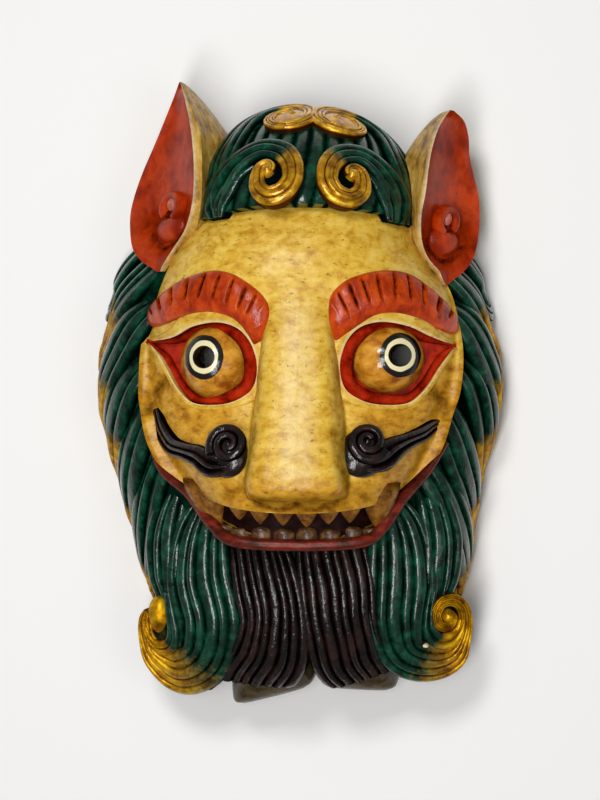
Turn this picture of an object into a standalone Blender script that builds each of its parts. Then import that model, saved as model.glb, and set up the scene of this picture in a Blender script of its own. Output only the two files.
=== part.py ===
"""Snow lion mask, carved from one block of wood and hollow behind, lying face up on its flat rim.

Run with: blender --background --python part.py

The frame is in metres. +Y runs from the beard to the ears, +Z out of the face, and +X to the right of
someone who looks at the face. The origin is under the middle of the mask, on the plane of its rim.
The carving is free form, so its places are written in shares of the mask's height: one unit U is a
424th of it, which is one millimetre at the size modelled here.
"""

import math

import bmesh
import bpy
from mathutils import Matrix, Vector

MASK_HEIGHT = 0.424
U = MASK_HEIGHT / 424

# What the carver can set by itself, whatever the size of the mask.
SIDE_WALL = 0.018
FRONT_WALL = 0.022
SIGHT_HOLE_DIAMETER = 0.0150
LOCK_RELIEF = 0.0042
BROW_THICKNESS = 0.0055
MOUTH_DEPTH = 0.019
EYE_RECESS = 0.009

# Facets left on the carved outside.
CARVED_TRIANGLES = 9000

# The nose, eyes and mouth stand to one side of the mane's middle, as they were carved.
FACE_MIDDLE = 9
PARTING = 4

# Half the width of the mane's core and its height above the rim, from the beard to the crown.
CORE_HALF_WIDTH = ((-182, 44), (-176, 66), (-165, 84), (-150, 96), (-120, 108), (-90, 114),
                   (-50, 123), (0, 135), (35, 134), (60, 130), (100, 113), (130, 95), (160, 74),
                   (180, 50), (192, 24))
CORE_HEIGHT = ((-182, 26), (-165, 46), (-150, 62), (-120, 78), (-90, 86), (-50, 92), (0, 96), (60, 100),
               (120, 100), (160, 84), (180, 58), (192, 30))

# The lower part of the mane is fuller on its right, so its middle moves over.
CORE_MIDDLE = ((-182, 3), (-140, 4), (-110, 4), (-80, 2), (-45, 0), (192, 0))

# The face is a dome with its edge at FACE_EDGE above the rim; its lower end is the outer lip line.
FACE_EDGE = 42
FACE_HALF_WIDTH = ((-97, 36), (-92, 46), (-82, 57), (-68, 68), (-50, 84), (-29, 97), (-10, 105),
                   (6, 110), (30, 111), (54, 108), (75, 103), (96, 94), (116, 81), (134, 64))
FACE_LEFT_SWELL = ((-97, 0), (-60, 6), (-30, 7), (10, 1), (40, 0))
FACE_HEIGHT = ((-97, 100), (-90, 114), (-75, 131), (-60, 132), (-40, 126), (-15, 117), (10, 114), (35, 117),
               (60, 123), (90, 122), (121, 112), (134, 104))

# The hair cap is the upper part of an ellipsoid, above the hairline.
CAP_MIDDLE = Vector((7, 105, 25))
CAP_RADII = Vector((90, 95, 100))
HAIRLINE = 127
HAIRLINE_DROOP = 13

# Inside of the mask: half width and height of the hollow, before the walls are taken off.
HOLLOW_BOTTOM = -96
HOLLOW_TOP = 166


def smooth_value(table, x):
    """Value at x of a smooth curve through the (x, value) pairs of a table sorted by x."""
    last = len(table) - 1
    x = min(max(x, table[0][0]), table[last][0])
    index = 0
    while index < last - 1 and x > table[index + 1][0]:
        index += 1
    x0, y0 = table[index]
    x1, y1 = table[index + 1]
    before = table[max(index - 1, 0)]
    after = table[min(index + 2, last)]
    slope0 = (y1 - before[1]) / (x1 - before[0])
    slope1 = (after[1] - y0) / (after[0] - x0)
    span = x1 - x0
    t = (x - x0) / span
    return (y0 * (2 * t ** 3 - 3 * t ** 2 + 1) + slope0 * span * (t ** 3 - 2 * t ** 2 + t)
            + y1 * (3 * t ** 2 - 2 * t ** 3) + slope1 * span * (t ** 3 - t ** 2))


def smooth_path(points, count):
    """Evenly numbered points on a smooth curve through a few points of any dimension."""
    table = [[(index, point[axis]) for index, point in enumerate(points)]
             for axis in range(len(points[0]))]
    last = len(points) - 1
    return [[smooth_value(column, last * step / (count - 1)) for column in table]
            for step in range(count)]


def face_reach(side, y):
    """Half the face's width at a place along it; its left jaw is the fuller one."""
    return smooth_value(FACE_HALF_WIDTH, y) + (smooth_value(FACE_LEFT_SWELL, y) if side < 0 else 0)


def face_height(x, y):
    """Height of the bare face over the rim, x taken from the middle of the face."""
    share = min(abs(x) / face_reach(x, y), 1.0)
    dome = (1 - share ** 2.5) ** 0.5
    height = FACE_EDGE + (smooth_value(FACE_HEIGHT, y) - FACE_EDGE) * dome
    cheek = 8 * math.exp(-((abs(x) - 48) / 26) ** 2 - ((y + 36) / 20) ** 2)
    return height + cheek


def on_face(x, y):
    """Point of the bare face, x taken from the middle of the face."""
    return Vector((FACE_MIDDLE + x, y, face_height(x, y)))


def on_mane(side):
    """Surface of one side of the mane: reach up from the rim, and place along the mask."""
    def place(reach, y):
        angle = reach / 100
        across = side * smooth_value(CORE_HALF_WIDTH, y) * math.cos(angle)
        return Vector((smooth_value(CORE_MIDDLE, y) + across, y,
                       smooth_value(CORE_HEIGHT, y) * math.sin(angle)))
    return place


def on_cap(x, rise):
    """Point of the hair cap: x from its middle, and the way up and back over the crown."""
    girth = math.sqrt(max(1 - (x / CAP_RADII.x) ** 2, 0.02))
    angle = rise / 97
    return Vector((CAP_MIDDLE.x + x, CAP_MIDDLE.y + CAP_RADII.y * girth * math.sin(angle),
                   CAP_MIDDLE.z + CAP_RADII.z * girth * math.cos(angle)))


def on_bulge(middle, lean, tip, radius):
    """Rounded patch about a point, leaning out sideways and down by two angles in degrees."""
    turn = Matrix.Rotation(math.radians(lean), 3, "Y") @ Matrix.Rotation(math.radians(tip), 3, "X")
    middle = Vector(middle)

    def place(x, y):
        return middle + turn @ Vector((x, y, -(x * x + y * y) / (2 * radius)))
    return place


def lifted(surface, a, b, height):
    """Point over a surface by a height along its normal, outwards from the middle of the head."""
    here = surface(a, b)
    normal = (surface(a + 0.5, b) - here).cross(surface(a, b + 0.5) - here).normalized()
    spine = Vector((FACE_MIDDLE, min(max(here.y, -150), 150), 10))
    if normal.dot(here - spine) < 0:
        normal.negate()
    return here + normal * height


def finish(name, bm):
    """Turn a bmesh in units into an object in metres, with its faces pointing out."""
    bmesh.ops.scale(bm, vec=(U, U, U), verts=bm.verts)
    bmesh.ops.triangulate(bm, faces=bm.faces)
    bmesh.ops.recalc_face_normals(bm, faces=bm.faces)
    mesh = bpy.data.meshes.new(name)
    bm.to_mesh(mesh)
    bm.free()
    piece = bpy.data.objects.new(name, mesh)
    bpy.context.scene.collection.objects.link(piece)
    return piece


def loft(name, rings):
    """Closed piece through a row of rings with the same number of points, capped at both ends."""
    bm = bmesh.new()
    loops = [[bm.verts.new(point) for point in ring] for ring in rings]
    for near, far in zip(loops, loops[1:]):
        for index, corner in enumerate(near):
            after = (index + 1) % len(near)
            bm.faces.new((corner, near[after], far[after], far[index]))
    for end in (loops[0], loops[-1]):
        cap = bm.faces.new(end)
        bmesh.ops.poke(bm, faces=[cap])
    return finish(name, bm)


def dome(name, surface, a, b, radii, height, segments=12, rings=6):
    """Rounded boss on a surface, with half its body sunk below it."""
    bm = bmesh.new()
    bmesh.ops.create_uvsphere(bm, u_segments=segments, v_segments=rings, radius=1)
    for vert in bm.verts:
        x, y, z = vert.co
        vert.co = lifted(surface, a + radii[0] * x, b + radii[1] * y, height * z)
    return finish(name, bm)


def strand_heights(ridges, crown, relief):
    """Heights across a lock from edge to edge: a crown with a row of ridges and grooves on it."""
    heights = []
    for index in range(2 * ridges + 1):
        across = index / ridges - 1
        peak = relief if index % 2 else 0
        heights.append((across, crown * math.sqrt(max(1 - across ** 2, 0)) + peak))
    return heights


def lock(name, surface, points, ridges, count, crown=4, relief=None, sink=9, slant=0):
    """Ridged lock of hair along a path on a surface: points are (a, b, half width, lift).

    The slant is how far the two edges of its end are pulled apart along the path.
    """
    relief = LOCK_RELIEF / U if relief is None else relief
    path = smooth_path(points, count)
    widest = max(point[2] for point in points)
    rings = []
    for index, (a, b, half_width, lift) in enumerate(path):
        before = path[max(index - 1, 0)]
        after = path[min(index + 1, count - 1)]
        along = Vector((after[0] - before[0], after[1] - before[1])).normalized()
        share = min(half_width / widest, 1) ** 0.5
        shift = slant * (index / (count - 1)) ** 3
        ring = []
        for across, height in strand_heights(ridges, crown, relief):
            reach = across * half_width
            ring.append(lifted(surface, a - along.y * reach + along.x * shift * across,
                               b + along.x * reach + along.y * shift * across,
                               lift + height * share))
        for across in (1, -1):
            reach = across * half_width * 0.9
            ring.append(lifted(surface, a - along.y * reach + along.x * shift * across,
                               b + along.x * reach + along.y * shift * across, lift - sink))
        rings.append(ring)
    return loft(name, rings)


def spiral_path(eye, radius, start, turns, width, steps, lift=0.0, squash=1.0):
    """Points of a coil that winds inwards from a start angle in degrees to its eye."""
    points = []
    for step in range(steps + 1):
        share = step / steps
        angle = math.radians(start) + 2 * math.pi * turns * share
        reach = radius * (1 - 0.80 * share)
        points.append((eye[0] + reach * math.cos(angle), eye[1] + squash * reach * math.sin(angle),
                       width * (1 - 0.55 * share), lift))
    return points


def arch(half_width, height, middle, y, count, power=1.0, floor=-5):
    """Half round cross-section from a floor, a little below the rim plane, up to a height."""
    points = []
    for step in range(count + 1):
        angle = math.pi * step / count
        points.append(Vector((middle + half_width * math.cos(angle), y,
                              floor + (height - floor) * math.sin(angle) ** power)))
    return points


def mane_core():
    """Solid head behind the face, from the beard to the crown."""
    rows = [-182, -176, -165, -150, -130, -105, -80, -50, -20, 10, 40, 70, 100, 130, 155, 178, 192]
    return loft("core", [arch(smooth_value(CORE_HALF_WIDTH, y), smooth_value(CORE_HEIGHT, y),
                              smooth_value(CORE_MIDDLE, y), y, 16) for y in rows])


def face():
    """Dome of forehead, cheeks and muzzle, without the nose."""
    rings = []
    for y in (-97, -90, -80, -68, -55, -42, -29, -15, 0, 15, 30, 45, 60, 78, 96, 112, 124, 134):
        ring = []
        for step in range(21):
            turn = math.cos(math.pi * step / 20)
            ring.append(on_face(turn * face_reach(turn, y), y))
        for side in (-1, 1):
            ring.append(Vector((FACE_MIDDLE + side * face_reach(side, y) * 0.9, y, 10)))
        rings.append(ring)
    return loft("face", rings)


def hair_cap():
    """Upper part of the ellipsoid of hair, from the hairline over the crown to the rim."""
    rings = []
    crown = CAP_MIDDLE.y + CAP_RADII.y
    for step in range(11):
        share = step / 10
        ring = []
        for turn in range(17):
            cosine = math.cos(math.pi * turn / 16)
            y = HAIRLINE + (crown - 0.4 - HAIRLINE) * (1 - (1 - share) ** 1.7)
            y -= HAIRLINE_DROOP * cosine ** 2 * (1 - share)
            girth = math.sqrt(max(1 - ((y - CAP_MIDDLE.y) / CAP_RADII.y) ** 2, 0))
            ring.append(Vector((CAP_MIDDLE.x + CAP_RADII.x * girth * cosine, y,
                                CAP_MIDDLE.z + CAP_RADII.z * girth * math.sin(math.pi * turn / 16))))
        for edge in (ring[-1], ring[0]):
            ring.append(Vector((edge.x, edge.y, -5)))
        rings.append(ring)
    return loft("cap", rings)


def nose():
    """Long flat-topped nose, widening to the tip, with the bottom cut square."""
    stations = ((84, 17, 117), (62, 22, 124), (32, 24, 131), (3, 26, 137), (-13, 28, 141),
                (-34, 30, 147), (-50, 32, 152), (-58, 31, 153), (-62.5, 29, 147))
    rings = []
    for y, half_width, top in stations:
        outline = ((1.25, 95 - top), (1.09, -20), (1.0, -8), (0.82, -1.5), (0.4, 0), (0, 0.5))
        ring = [Vector((FACE_MIDDLE + half_width * across, y, top + down))
                for across, down in outline]
        ring += [Vector((FACE_MIDDLE - half_width * across, y, top + down))
                 for across, down in reversed(outline[:-1])]
        rings.append(ring)
    return loft("nose", rings)


UPPER_LIP = ((-106, -29), (-92, -43), (-72, -57), (-55, -66), (-27, -71), (0, -73), (27, -71),
             (53, -66), (68, -56), (86, -40), (97, -30))
LOWER_LIP = ((-106, -28), (-98, -49), (-79, -65), (-62, -84), (-44, -96), (0, -98.5), (42, -96),
             (57, -86), (69, -68), (85, -49), (97, -29))
LIP_WIDTH = 7


def lip_top(x):
    """Height of the lower lip's rounded edge at a distance from the middle of the face."""
    return 117 - 66 * (abs(x) / 97) ** 3.4


def mouth_cutter():
    """Room between the lips, cut to MOUTH_DEPTH behind the teeth."""
    rings = []
    upper = smooth_path(UPPER_LIP, 17)
    lower = smooth_path(LOWER_LIP, 17)
    for (x, top), (below, bottom) in zip(upper[1:-1], lower[1:-1]):
        x = (x + below) / 2
        bottom -= 3
        floor = min(face_height(x, top), lip_top(x) + 12) - MOUTH_DEPTH / U * (1 - (x / 110) ** 2) - 2
        middle = FACE_MIDDLE + x
        rings.append([Vector((middle, top, floor)), Vector((middle, bottom, floor)),
                      Vector((middle, bottom, 220)), Vector((middle, top, 220))])
    return loft("mouth cutter", rings)


def lower_lip():
    """Raised band round the lower edge of the mouth, from corner to corner."""
    path = smooth_path(LOWER_LIP, 25)
    rings = []
    for index, (x, y) in enumerate(path):
        before = path[max(index - 1, 0)]
        after = path[min(index + 1, len(path) - 1)]
        along = Vector((after[0] - before[0], after[1] - before[1])).normalized()
        inward = Vector((-along.y, along.x))
        top = lip_top(x)
        outline = ((-1, 20), (0, top - 5), (1.5, top), (LIP_WIDTH - 2, top + 0.5),
                   (LIP_WIDTH, top - 4), (LIP_WIDTH, 20))
        rings.append([Vector((FACE_MIDDLE + x + inward.x * reach, y + inward.y * reach, z))
                      for reach, z in outline])
    return loft("lower lip", rings)


def tooth(name, x, root, tip, radius, height, sides=6):
    """Pointed tooth from its root to its tip, standing in front of the mouth's floor."""
    bm = bmesh.new()
    length = abs(root - tip) + 4
    bmesh.ops.create_cone(bm, cap_ends=True, segments=sides, radius1=radius, radius2=radius * 0.15,
                          depth=length)
    turn = Matrix.Rotation(math.radians(90 if tip < root else -90), 4, "X")
    middle = Vector((FACE_MIDDLE + x, (root + tip) / 2 + (2 if tip < root else -2), height))
    bmesh.ops.transform(bm, matrix=Matrix.Translation(middle) @ turn, verts=bm.verts)
    return finish(name, bm)


def teeth():
    """Upper row with a large fang at each end, and a row of low stubs below."""
    pieces = []
    for index, x in enumerate((-40, -24, -8.5, 5.5, 20.5, 34.5)):
        pieces.append(tooth("upper tooth %d" % index, x, -67, -80, 7.5, 121))
    pieces.append(tooth("left fang", -60, -58, -85, 12.5, 94, 8))
    pieces.append(tooth("right fang", 51, -58, -83, 11.5, 102, 8))
    for index, x in enumerate((-39, -25, -10, 5, 20, 34)):
        pieces.append(tooth("lower tooth %d" % index, x, -94, -82, 7, 107))
    return pieces


EYE_PLACE = 57
EYE_HEIGHT = 25
EYE_OUTLINE = ((102, 38), (80, 50), (59, 53), (40, 47), (28, 30), (29, 13), (44, -2), (65, -4),
               (82, 11), (95, 27))
EYEBALLS = {-1: ((57, 25, 96), (22.5, 25, 21.5)), 1: ((57, 27, 96), (24, 22.5, 21.5))}
PUPIL_PLACES = {-1: (62, 28), 1: (66, 29)}


def eye_cutter(side):
    """Almond recess round an eye, flush with the face at its outer corner."""
    floor = face_height(EYE_PLACE, EYE_HEIGHT) - EYE_RECESS / U
    rings = []
    for lift in (0, 90):
        ring = []
        for x, y in EYE_OUTLINE:
            depth = floor - 0.50 * (x - EYE_PLACE) - 0.0015 * (x - EYE_PLACE) ** 2
            ring.append(Vector((FACE_MIDDLE + side * x, y, depth + lift)))
        rings.append(ring)
    return loft("eye cutter %d" % side, rings)


def eyeball(side):
    """Bulging eyeball, tall on the left of the mask and broad on its right."""
    bm = bmesh.new()
    bmesh.ops.create_uvsphere(bm, u_segments=16, v_segments=10, radius=1)
    (across, along, height), radii = EYEBALLS[side]
    middle = Matrix.Translation((FACE_MIDDLE + side * across, along, height))
    size = Matrix.Diagonal((*radii, 1))
    bmesh.ops.transform(bm, matrix=middle @ size, verts=bm.verts)
    return finish("eyeball %d" % side, bm)


def sight_hole(side):
    """Hole drilled through the pupil for the wearer to look out of."""
    bm = bmesh.new()
    bmesh.ops.create_cone(bm, cap_ends=True, segments=20, depth=150,
                          radius1=SIGHT_HOLE_DIAMETER / 2 / U, radius2=SIGHT_HOLE_DIAMETER / 2 / U)
    across, along = PUPIL_PLACES[side]
    place = (FACE_MIDDLE + side * across, along, 100)
    bmesh.ops.transform(bm, matrix=Matrix.Translation(place), verts=bm.verts)
    return finish("sight hole %d" % side, bm)


def brow(side):
    """Crescent brow with slanting grooves for its hairs."""
    path = smooth_path(((21, 45, 9), (28, 57, 15), (40, 66, 15.5), (56, 70, 14), (79, 66, 12.5),
                        (96, 57, 9), (104, 50, 4)), 24)
    thickness = BROW_THICKNESS / U
    rings = []
    for index, (x, y, half_width) in enumerate(path):
        before = path[max(index - 1, 0)]
        after = path[min(index + 1, len(path) - 1)]
        along = Vector((after[0] - before[0], after[1] - before[1])).normalized()
        groove = 1.8 if index % 2 and 2 < index < 20 else 0
        ring = []
        for across in (-1, -0.55, 0, 0.55, 1, 0.8, -0.8):
            sunk = across in (0.8, -0.8)
            height = -7 if sunk else thickness * math.sqrt(1.02 - across ** 2) - groove
            reach = across * half_width
            slant = 0 if sunk or abs(across) == 1 else 3 * across
            ring.append(lifted(on_face_side(side), x - along.y * reach + slant,
                               y + along.x * reach, height))
        rings.append(ring)
    return loft("brow %d" % side, rings)


def on_face_side(side):
    """Surface of one half of the face, with x running outwards from its middle."""
    def place(x, y):
        return on_face(side * x, y)
    return place


def moustache(side):
    """Curl beside the nose with a tail that waves up to the cheek."""
    surface = on_face_side(side)
    tail = lock("moustache tail %d" % side, surface,
                ((42, -44, 4, 0), (54, -38, 7, 1), (66, -31, 7.5, 1), (76, -26, 6, 1),
                 (85, -15, 4.5, 0.5), (91, -7, 1.5, 0)), 1, 10, crown=3, relief=1.5, sink=6)
    disc = dome("moustache disc %d" % side, surface, 44, -33, (13, 14), 4, 16, 6)
    coil = lock("moustache coil %d" % side, surface,
                spiral_path((44, -33), 9.5, 240, 1.35, 3.2, 16, 3), 1, 17, crown=2, relief=1,
                sink=4)
    return [tail, disc, coil]


EARS = {
    -1: ((87, -88, -95, 64, 57), (92, -84.5, -99, 72, 56), (101, -79, -107, 80, 52),
         (116, -70.5, -113.5, 90, 47), (134, -68.5, -114, 96, 43), (156, -67.5, -106.5, 97, 43),
         (175, -69, -97, 90, 46), (192, -72, -89, 80, 50), (206, -75, -83, 69, 54),
         (216, -78, -79, 60, 57)),
    1: ((74, 104, 105, 56, 50), (81, 98, 114, 70, 55), (93, 93.5, 122, 78, 50),
        (107, 89, 126.5, 87, 45), (121, 88, 127.5, 92, 42), (136, 88, 126.5, 94, 41),
        (152, 91, 123, 92, 42), (168, 94, 120, 84, 46), (182, 98, 117, 75, 50),
        (190, 101, 114, 67, 53), (194.5, 105, 109, 61, 57)),
}

# How deep the ear is hollowed, and how far its back reaches into the head below the tip.
EAR_HOLLOW = 9
EAR_WEB = 40
EAR_WEB_BOW = {-1: 1.0, 1: 0.8}


def ear(side):
    """Upright ear with its hollow turned out and forwards, growing from the side of the head."""
    rings = []
    tip = EARS[side][-1]
    for y, inner, outer, front, back in EARS[side]:
        share = min(max((tip[0] - y) / 40, 0), 1)
        body = min(3 * share + 0.1, 1)
        web = 1 + EAR_WEB * share ** EAR_WEB_BOW[side]
        root = tip[1] - side * web if share < 1 else side * 44 + FACE_MIDDLE
        rim = Vector((inner, y, front))
        edge = Vector((outer, y, back))
        across = edge - rim
        inwards = Vector((-side * 0.75, 0, -0.65))
        depth = EAR_HOLLOW * math.sqrt(min(share * 1.5, 1) + 0.02) * min(across.length / 50, 1)
        ring = [rim]
        for step in (0.12, 0.35, 0.65, 0.88):
            dip = depth * math.sin(math.pi * step) ** 0.6
            ring.append(rim + across * step + inwards * dip)
        ring.append(edge)
        ring.append(edge + Vector((-side * 3, 0, -6)) * body)
        ring.append(Vector((outer * 0.5 + root * 0.5, y, back - 13 * body)))
        ring.append(Vector((root, y, back - 7 * body)))
        ring.append(Vector((root * 0.55 + inner * 0.45, y, (front + back) / 2 + 3 * body)))
        ring.append(rim + Vector((-side * 3, 0, -2)) * body)
        rings.append(ring)
    return loft("ear %d" % side, rings)


def on_ear(side):
    """Surface of an ear's hollow: share of its width from the front rim, and height."""
    rows = EARS[side]
    columns = [[(row[0], row[index]) for row in rows] for index in range(5)]

    def place(across, y):
        inner, outer, front, back = (smooth_value(columns[index], y) for index in (1, 2, 3, 4))
        rim = Vector((inner, y, front))
        edge = Vector((outer, y, back))
        dip = EAR_HOLLOW * math.sin(math.pi * min(max(across / 50, 0.02), 0.98)) ** 0.6
        return rim + (edge - rim) * (across / 50) + Vector((-side * 0.75, 0, -0.65)) * dip
    return place


def ear_bud(side):
    """Rolled bud in the ear's hollow, with the lobe that wraps below it."""
    surface = on_ear(side)
    middle = 126 if side < 0 else 122
    bud = dome("ear bud %d" % side, surface, 21, middle, (8.5, 9.5), 7, 12, 8)
    lobe = lock("ear lobe %d" % side, surface,
                ((10, middle + 4, 2.5, -1), (10, middle - 9, 3.5, 0), (19, middle - 16, 4, 0.5),
                 (30, middle - 12, 3, 0), (34, middle - 1, 1.5, -1)), 1, 11, crown=3, relief=0.8,
                sink=5)
    return [bud, lobe]


MANE_TIPS = (66, 26, -22, -55, -94, -131)
MANE_START = {-1: 80, 1: 66}


def mane_locks(side):
    """Row of locks down one side of the mane, each hooked up at its tip on the outer edge."""
    pieces = []
    for index, tip in enumerate(MANE_TIPS):
        short = index == 0
        span = 54 if short else 96
        start = MANE_START[side] * (0.5 if short else 1)
        girth = 0.86 if short else 1
        points = ((start, tip + span, 8, -12), (0.84 * start, tip + 0.78 * span, 13 * girth, -3),
                  (0.62 * start, tip + 0.49 * span, 14 * girth, 0.5),
                  (0.36 * start, tip + 0.24 * span, 13 * girth, 1.5),
                  (11, tip + 8, 8.6 * girth, 3), (10, tip - 3, 5.2 * girth, 3.5),
                  (20, tip - 5, 3.5 * girth, 3), (24, tip + 3, 2, 2))
        pieces.append(lock("mane lock %d %d" % (side, index), on_mane(side), points, 3, 12,
                           crown=3.5, sink=10))
    return pieces


JOWL_ROWS = ((-66, 54, 18, 66, -5), (-90, 60, 30, 74, -5), (-120, 66, 34, 70, -5),
             (-150, 76, 32, 58, 0), (-172, 77, 29, 47, 12), (-187, 76, 21, 38, 20),
             (-193, 74, 11, 32, 24))
JOWL_DROP = {-1: 7, 1: 0}


def jowl(side):
    """Thick body under a side lock of the beard."""
    rings = []
    for index, (y, middle, half_width, height, floor) in enumerate(JOWL_ROWS):
        drop = JOWL_DROP[side] * index / (len(JOWL_ROWS) - 1)
        rings.append(arch(half_width, height, side * middle + 4, y - drop, 12, 0.8, floor))
    return loft("jowl %d" % side, rings)


SIDE_COILS = {-1: (-90.5, -153, 56), 1: (105, -152, 56)}


def side_lock(side):
    """Broad lock from the jaw that winds outwards into a coil at the mask's lower corner.

    A lesser one falls beside it from under the corner of the mouth.
    """
    surface = on_bulge(SIDE_COILS[side], 28 * side, 12, 230)
    route = ((-44, 86, 14, -4), (-34, 60, 23, 0), (-37, 28, 24, 1), (-37, 0, 23, 2),
             (-31, -21, 20, 2.5), (-13, -29, 16.5, 3), (4, -23, 11, 3.5), (10, -9, 6, 4),
             (10.5, 5, 4.5, 4), (8, 13, 3, 3.5))
    outer = ((-24, 112, 8, -9), (-13, 88, 12, -3), (-8, 62, 15, 0), (-8, 38, 14, 0),
             (-9, 22, 11, -2), (-8, 8, 8, -5))
    points = [(side * a, b, half_width, lift) for a, b, half_width, lift in route]
    beside = [(side * a, b, half_width, lift) for a, b, half_width, lift in outer]
    strands = lock("side lock %d" % side, surface, points, 5, 22, crown=4, sink=22)
    jaw = lock("jaw lock %d" % side, surface, beside, 3, 10, crown=4, sink=24)
    bud = dome("side bud %d" % side, surface, side * -4, 3, (8.5, 14), 9.5, 12, 6)
    bed = dome("side bed %d" % side, surface, side * -1, -3, (13, 20), 4, 12, 6)
    return [strands, jaw, bud, bed]


BEARD = {
    -1: ((-20, 54, 20, -4), (-18, 25, 22, 0), (-17, 0, 24, 1), (-20, -24, 26, 0.5), (-27, -42, 25, -3)),
    1: ((29, 54, 20, -4), (29, 25, 22, 0), (30, 0, 24, 1), (34, -22, 25, 0.5), (42, -38, 23, -3)),
}
BEARD_SLANTS = {-1: -13, 1: 6}
BEARD_FEET = {-1: (-15, 30, -202.6, 0.26), 1: (43.5, 28.5, -197, -0.04)}


def beard(side):
    """One of the two bunches of the beard, sweeping outwards, with a bare sloping foot."""
    surface = on_bulge((PARTING, -150, 80), 0, 12, 200)
    strands = lock("beard lock %d" % side, surface, BEARD[side], 5, 11, crown=6, sink=20,
                   slant=BEARD_SLANTS[side])
    middle, half_width, foot, lean = BEARD_FEET[side]
    rings = []
    for y, share, height, floor in ((-90, 1, 78, -5), (-140, 1, 79, -5), (foot + 26, 1, 71, -5),
                                    (foot + 12, 0.98, 62, 14), (foot + 3, 0.9, 54, 30),
                                    (foot, 0.7, 46, 36)):
        ring = arch(half_width * share, height, middle, y, 10, 0.55, floor)
        for point in ring:
            point.y += lean * (point.x - middle)
        rings.append(ring)
    return [strands, loft("beard body %d" % side, rings)]


def front_curls(side):
    """Lock that rises from the ear's foot and rolls down into a coil over the forehead."""
    surface = on_cap
    eye = (-16 if side < 0 else 34, 43)
    spread = side * (1 if side < 0 else 0.88)
    route = ((47, -13, 11, -2), (38, 1, 12, 0), (25, 15, 11, 1.5), (8, 22.5, 10, 3),
             (-6, 18.5, 9, 4), (-12, 9, 8.5, 4.5), (-12.5, -3, 8.5, 5), (-8, -13, 8, 5),
             (0, -17, 7.3, 5), (7, -12, 5.5, 5), (8.8, -3, 4.8, 5), (6.5, 5, 4, 5),
             (1, 8.5, 3.4, 5.2))
    fan = ((56, -36, 12, -3), (49, -17, 14, -1), (38, -2, 12, 0), (24, 9, 9, 0.5), (12, 14, 6, 0))
    points = [(eye[0] + spread * a, eye[1] + b, half_width, lift)
              for a, b, half_width, lift in route]
    below = [(eye[0] + spread * a, eye[1] + b, half_width, lift)
             for a, b, half_width, lift in fan]
    strands = lock("front lock %d" % side, surface, points, 3, 26, crown=2.5, relief=2.6, sink=9)
    under = lock("front fan %d" % side, surface, below, 3, 10, crown=2, relief=2.6, sink=9)
    bud = dome("front bud %d" % side, surface, eye[0] + spread * 0.5, eye[1] + 2.5, (4.5, 5), 9, 12, 6)
    bed = dome("front bed %d" % side, surface, eye[0] - side * 3, eye[1] - 3, (13, 16), 5.5, 12, 6)
    return [strands, under, bud, bed]


def crown_curls(side):
    """Lock that climbs beside the ear to a flat coil on the crown."""
    eye = (-8 if side < 0 else 26, 104)
    spread = side * (1 if side < 0 else 0.88)
    route = ((50, -84, 6, -2), (48, -60, 10, 0), (43, -35, 11, 0.5), (35, -12, 9.5, 1),
             (27, 8, 8, 1), (14, 19, 7, 1), (-2, 20, 6, 1), (-13, 10, 5.5, 1.5), (-14, -5, 5.5, 2),
             (-6, -15, 5, 2), (6, -15, 4.5, 2), (12, -6, 4, 2), (9, 4, 3.5, 2), (0, 6, 3, 2),
             (-3, 0, 2.5, 2.5))
    points = [(eye[0] + spread * a, eye[1] + b, half_width, lift)
              for a, b, half_width, lift in route]
    strands = lock("crown lock %d" % side, on_cap, points, 3, 24, crown=2.5, relief=2.6, sink=9)
    bed = dome("crown bed %d" % side, on_cap, eye[0], eye[1], (17, 18), 4, 12, 6)
    return [strands, bed]


def hollow_cutter():
    """Inside of the mask: the core less its walls, open behind."""
    side_wall = SIDE_WALL / U
    front_wall = FRONT_WALL / U
    rows = ((HOLLOW_BOTTOM, 0.50, 0.45), (-84, 0.72, 0.80), (-60, 0.88, 0.95), (-20, 1, 1),
            (20, 1, 1), (60, 1, 1), (100, 1, 1), (130, 0.97, 0.98), (152, 0.85, 0.85),
            (HOLLOW_TOP, 0.55, 0.45))
    rings = []
    for y, width_share, height_share in rows:
        half_width = (smooth_value(CORE_HALF_WIDTH, y) - side_wall) * width_share
        height = (108 - front_wall) * height_share
        middle = smooth_value(CORE_MIDDLE, y)
        ring = [Vector((middle + half_width * math.cos(math.pi * step / 16), y,
                        height * math.sin(math.pi * step / 16) ** 0.8)) for step in range(17)]
        ring += [Vector((middle - half_width, y, -20)), Vector((middle + half_width, y, -20))]
        rings.append(ring)
    return loft("hollow cutter", rings)


def rim_cutter():
    """Block below the rim, which leaves the mask its flat back."""
    bm = bmesh.new()
    bmesh.ops.create_cube(bm, size=1)
    bmesh.ops.transform(bm, matrix=Matrix.Translation((0, 0, -50)) @ Matrix.Diagonal((500, 600, 100, 1)),
                        verts=bm.verts)
    return finish("rim cutter", bm)


def combine(body, tool, operation):
    """Apply a Boolean of a tool to the body, and drop the tool.

    The locks touch and cross in so many places that the exact solver leaves open edges between them,
    so the manifold one joins them.
    """
    modifier = body.modifiers.new(operation.title(), "BOOLEAN")
    modifier.operation = operation
    modifier.solver = "MANIFOLD"
    modifier.object = tool
    graph = bpy.context.evaluated_depsgraph_get()
    shape = bpy.data.meshes.new_from_object(body.evaluated_get(graph))
    body.modifiers.clear()
    old = body.data
    body.data = shape
    bpy.data.meshes.remove(old)
    bpy.data.objects.remove(tool)


def paint():
    """Varnished paint on carved wood, in the yellow of the face."""
    material = bpy.data.materials.new("painted_wood")
    material.use_nodes = True
    shader = material.node_tree.nodes["Principled BSDF"]
    shader.inputs["Base Color"].default_value = (0.62, 0.42, 0.10, 1)
    shader.inputs["Roughness"].default_value = 0.35
    shader.inputs["Metallic"].default_value = 0.0
    return material


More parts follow.
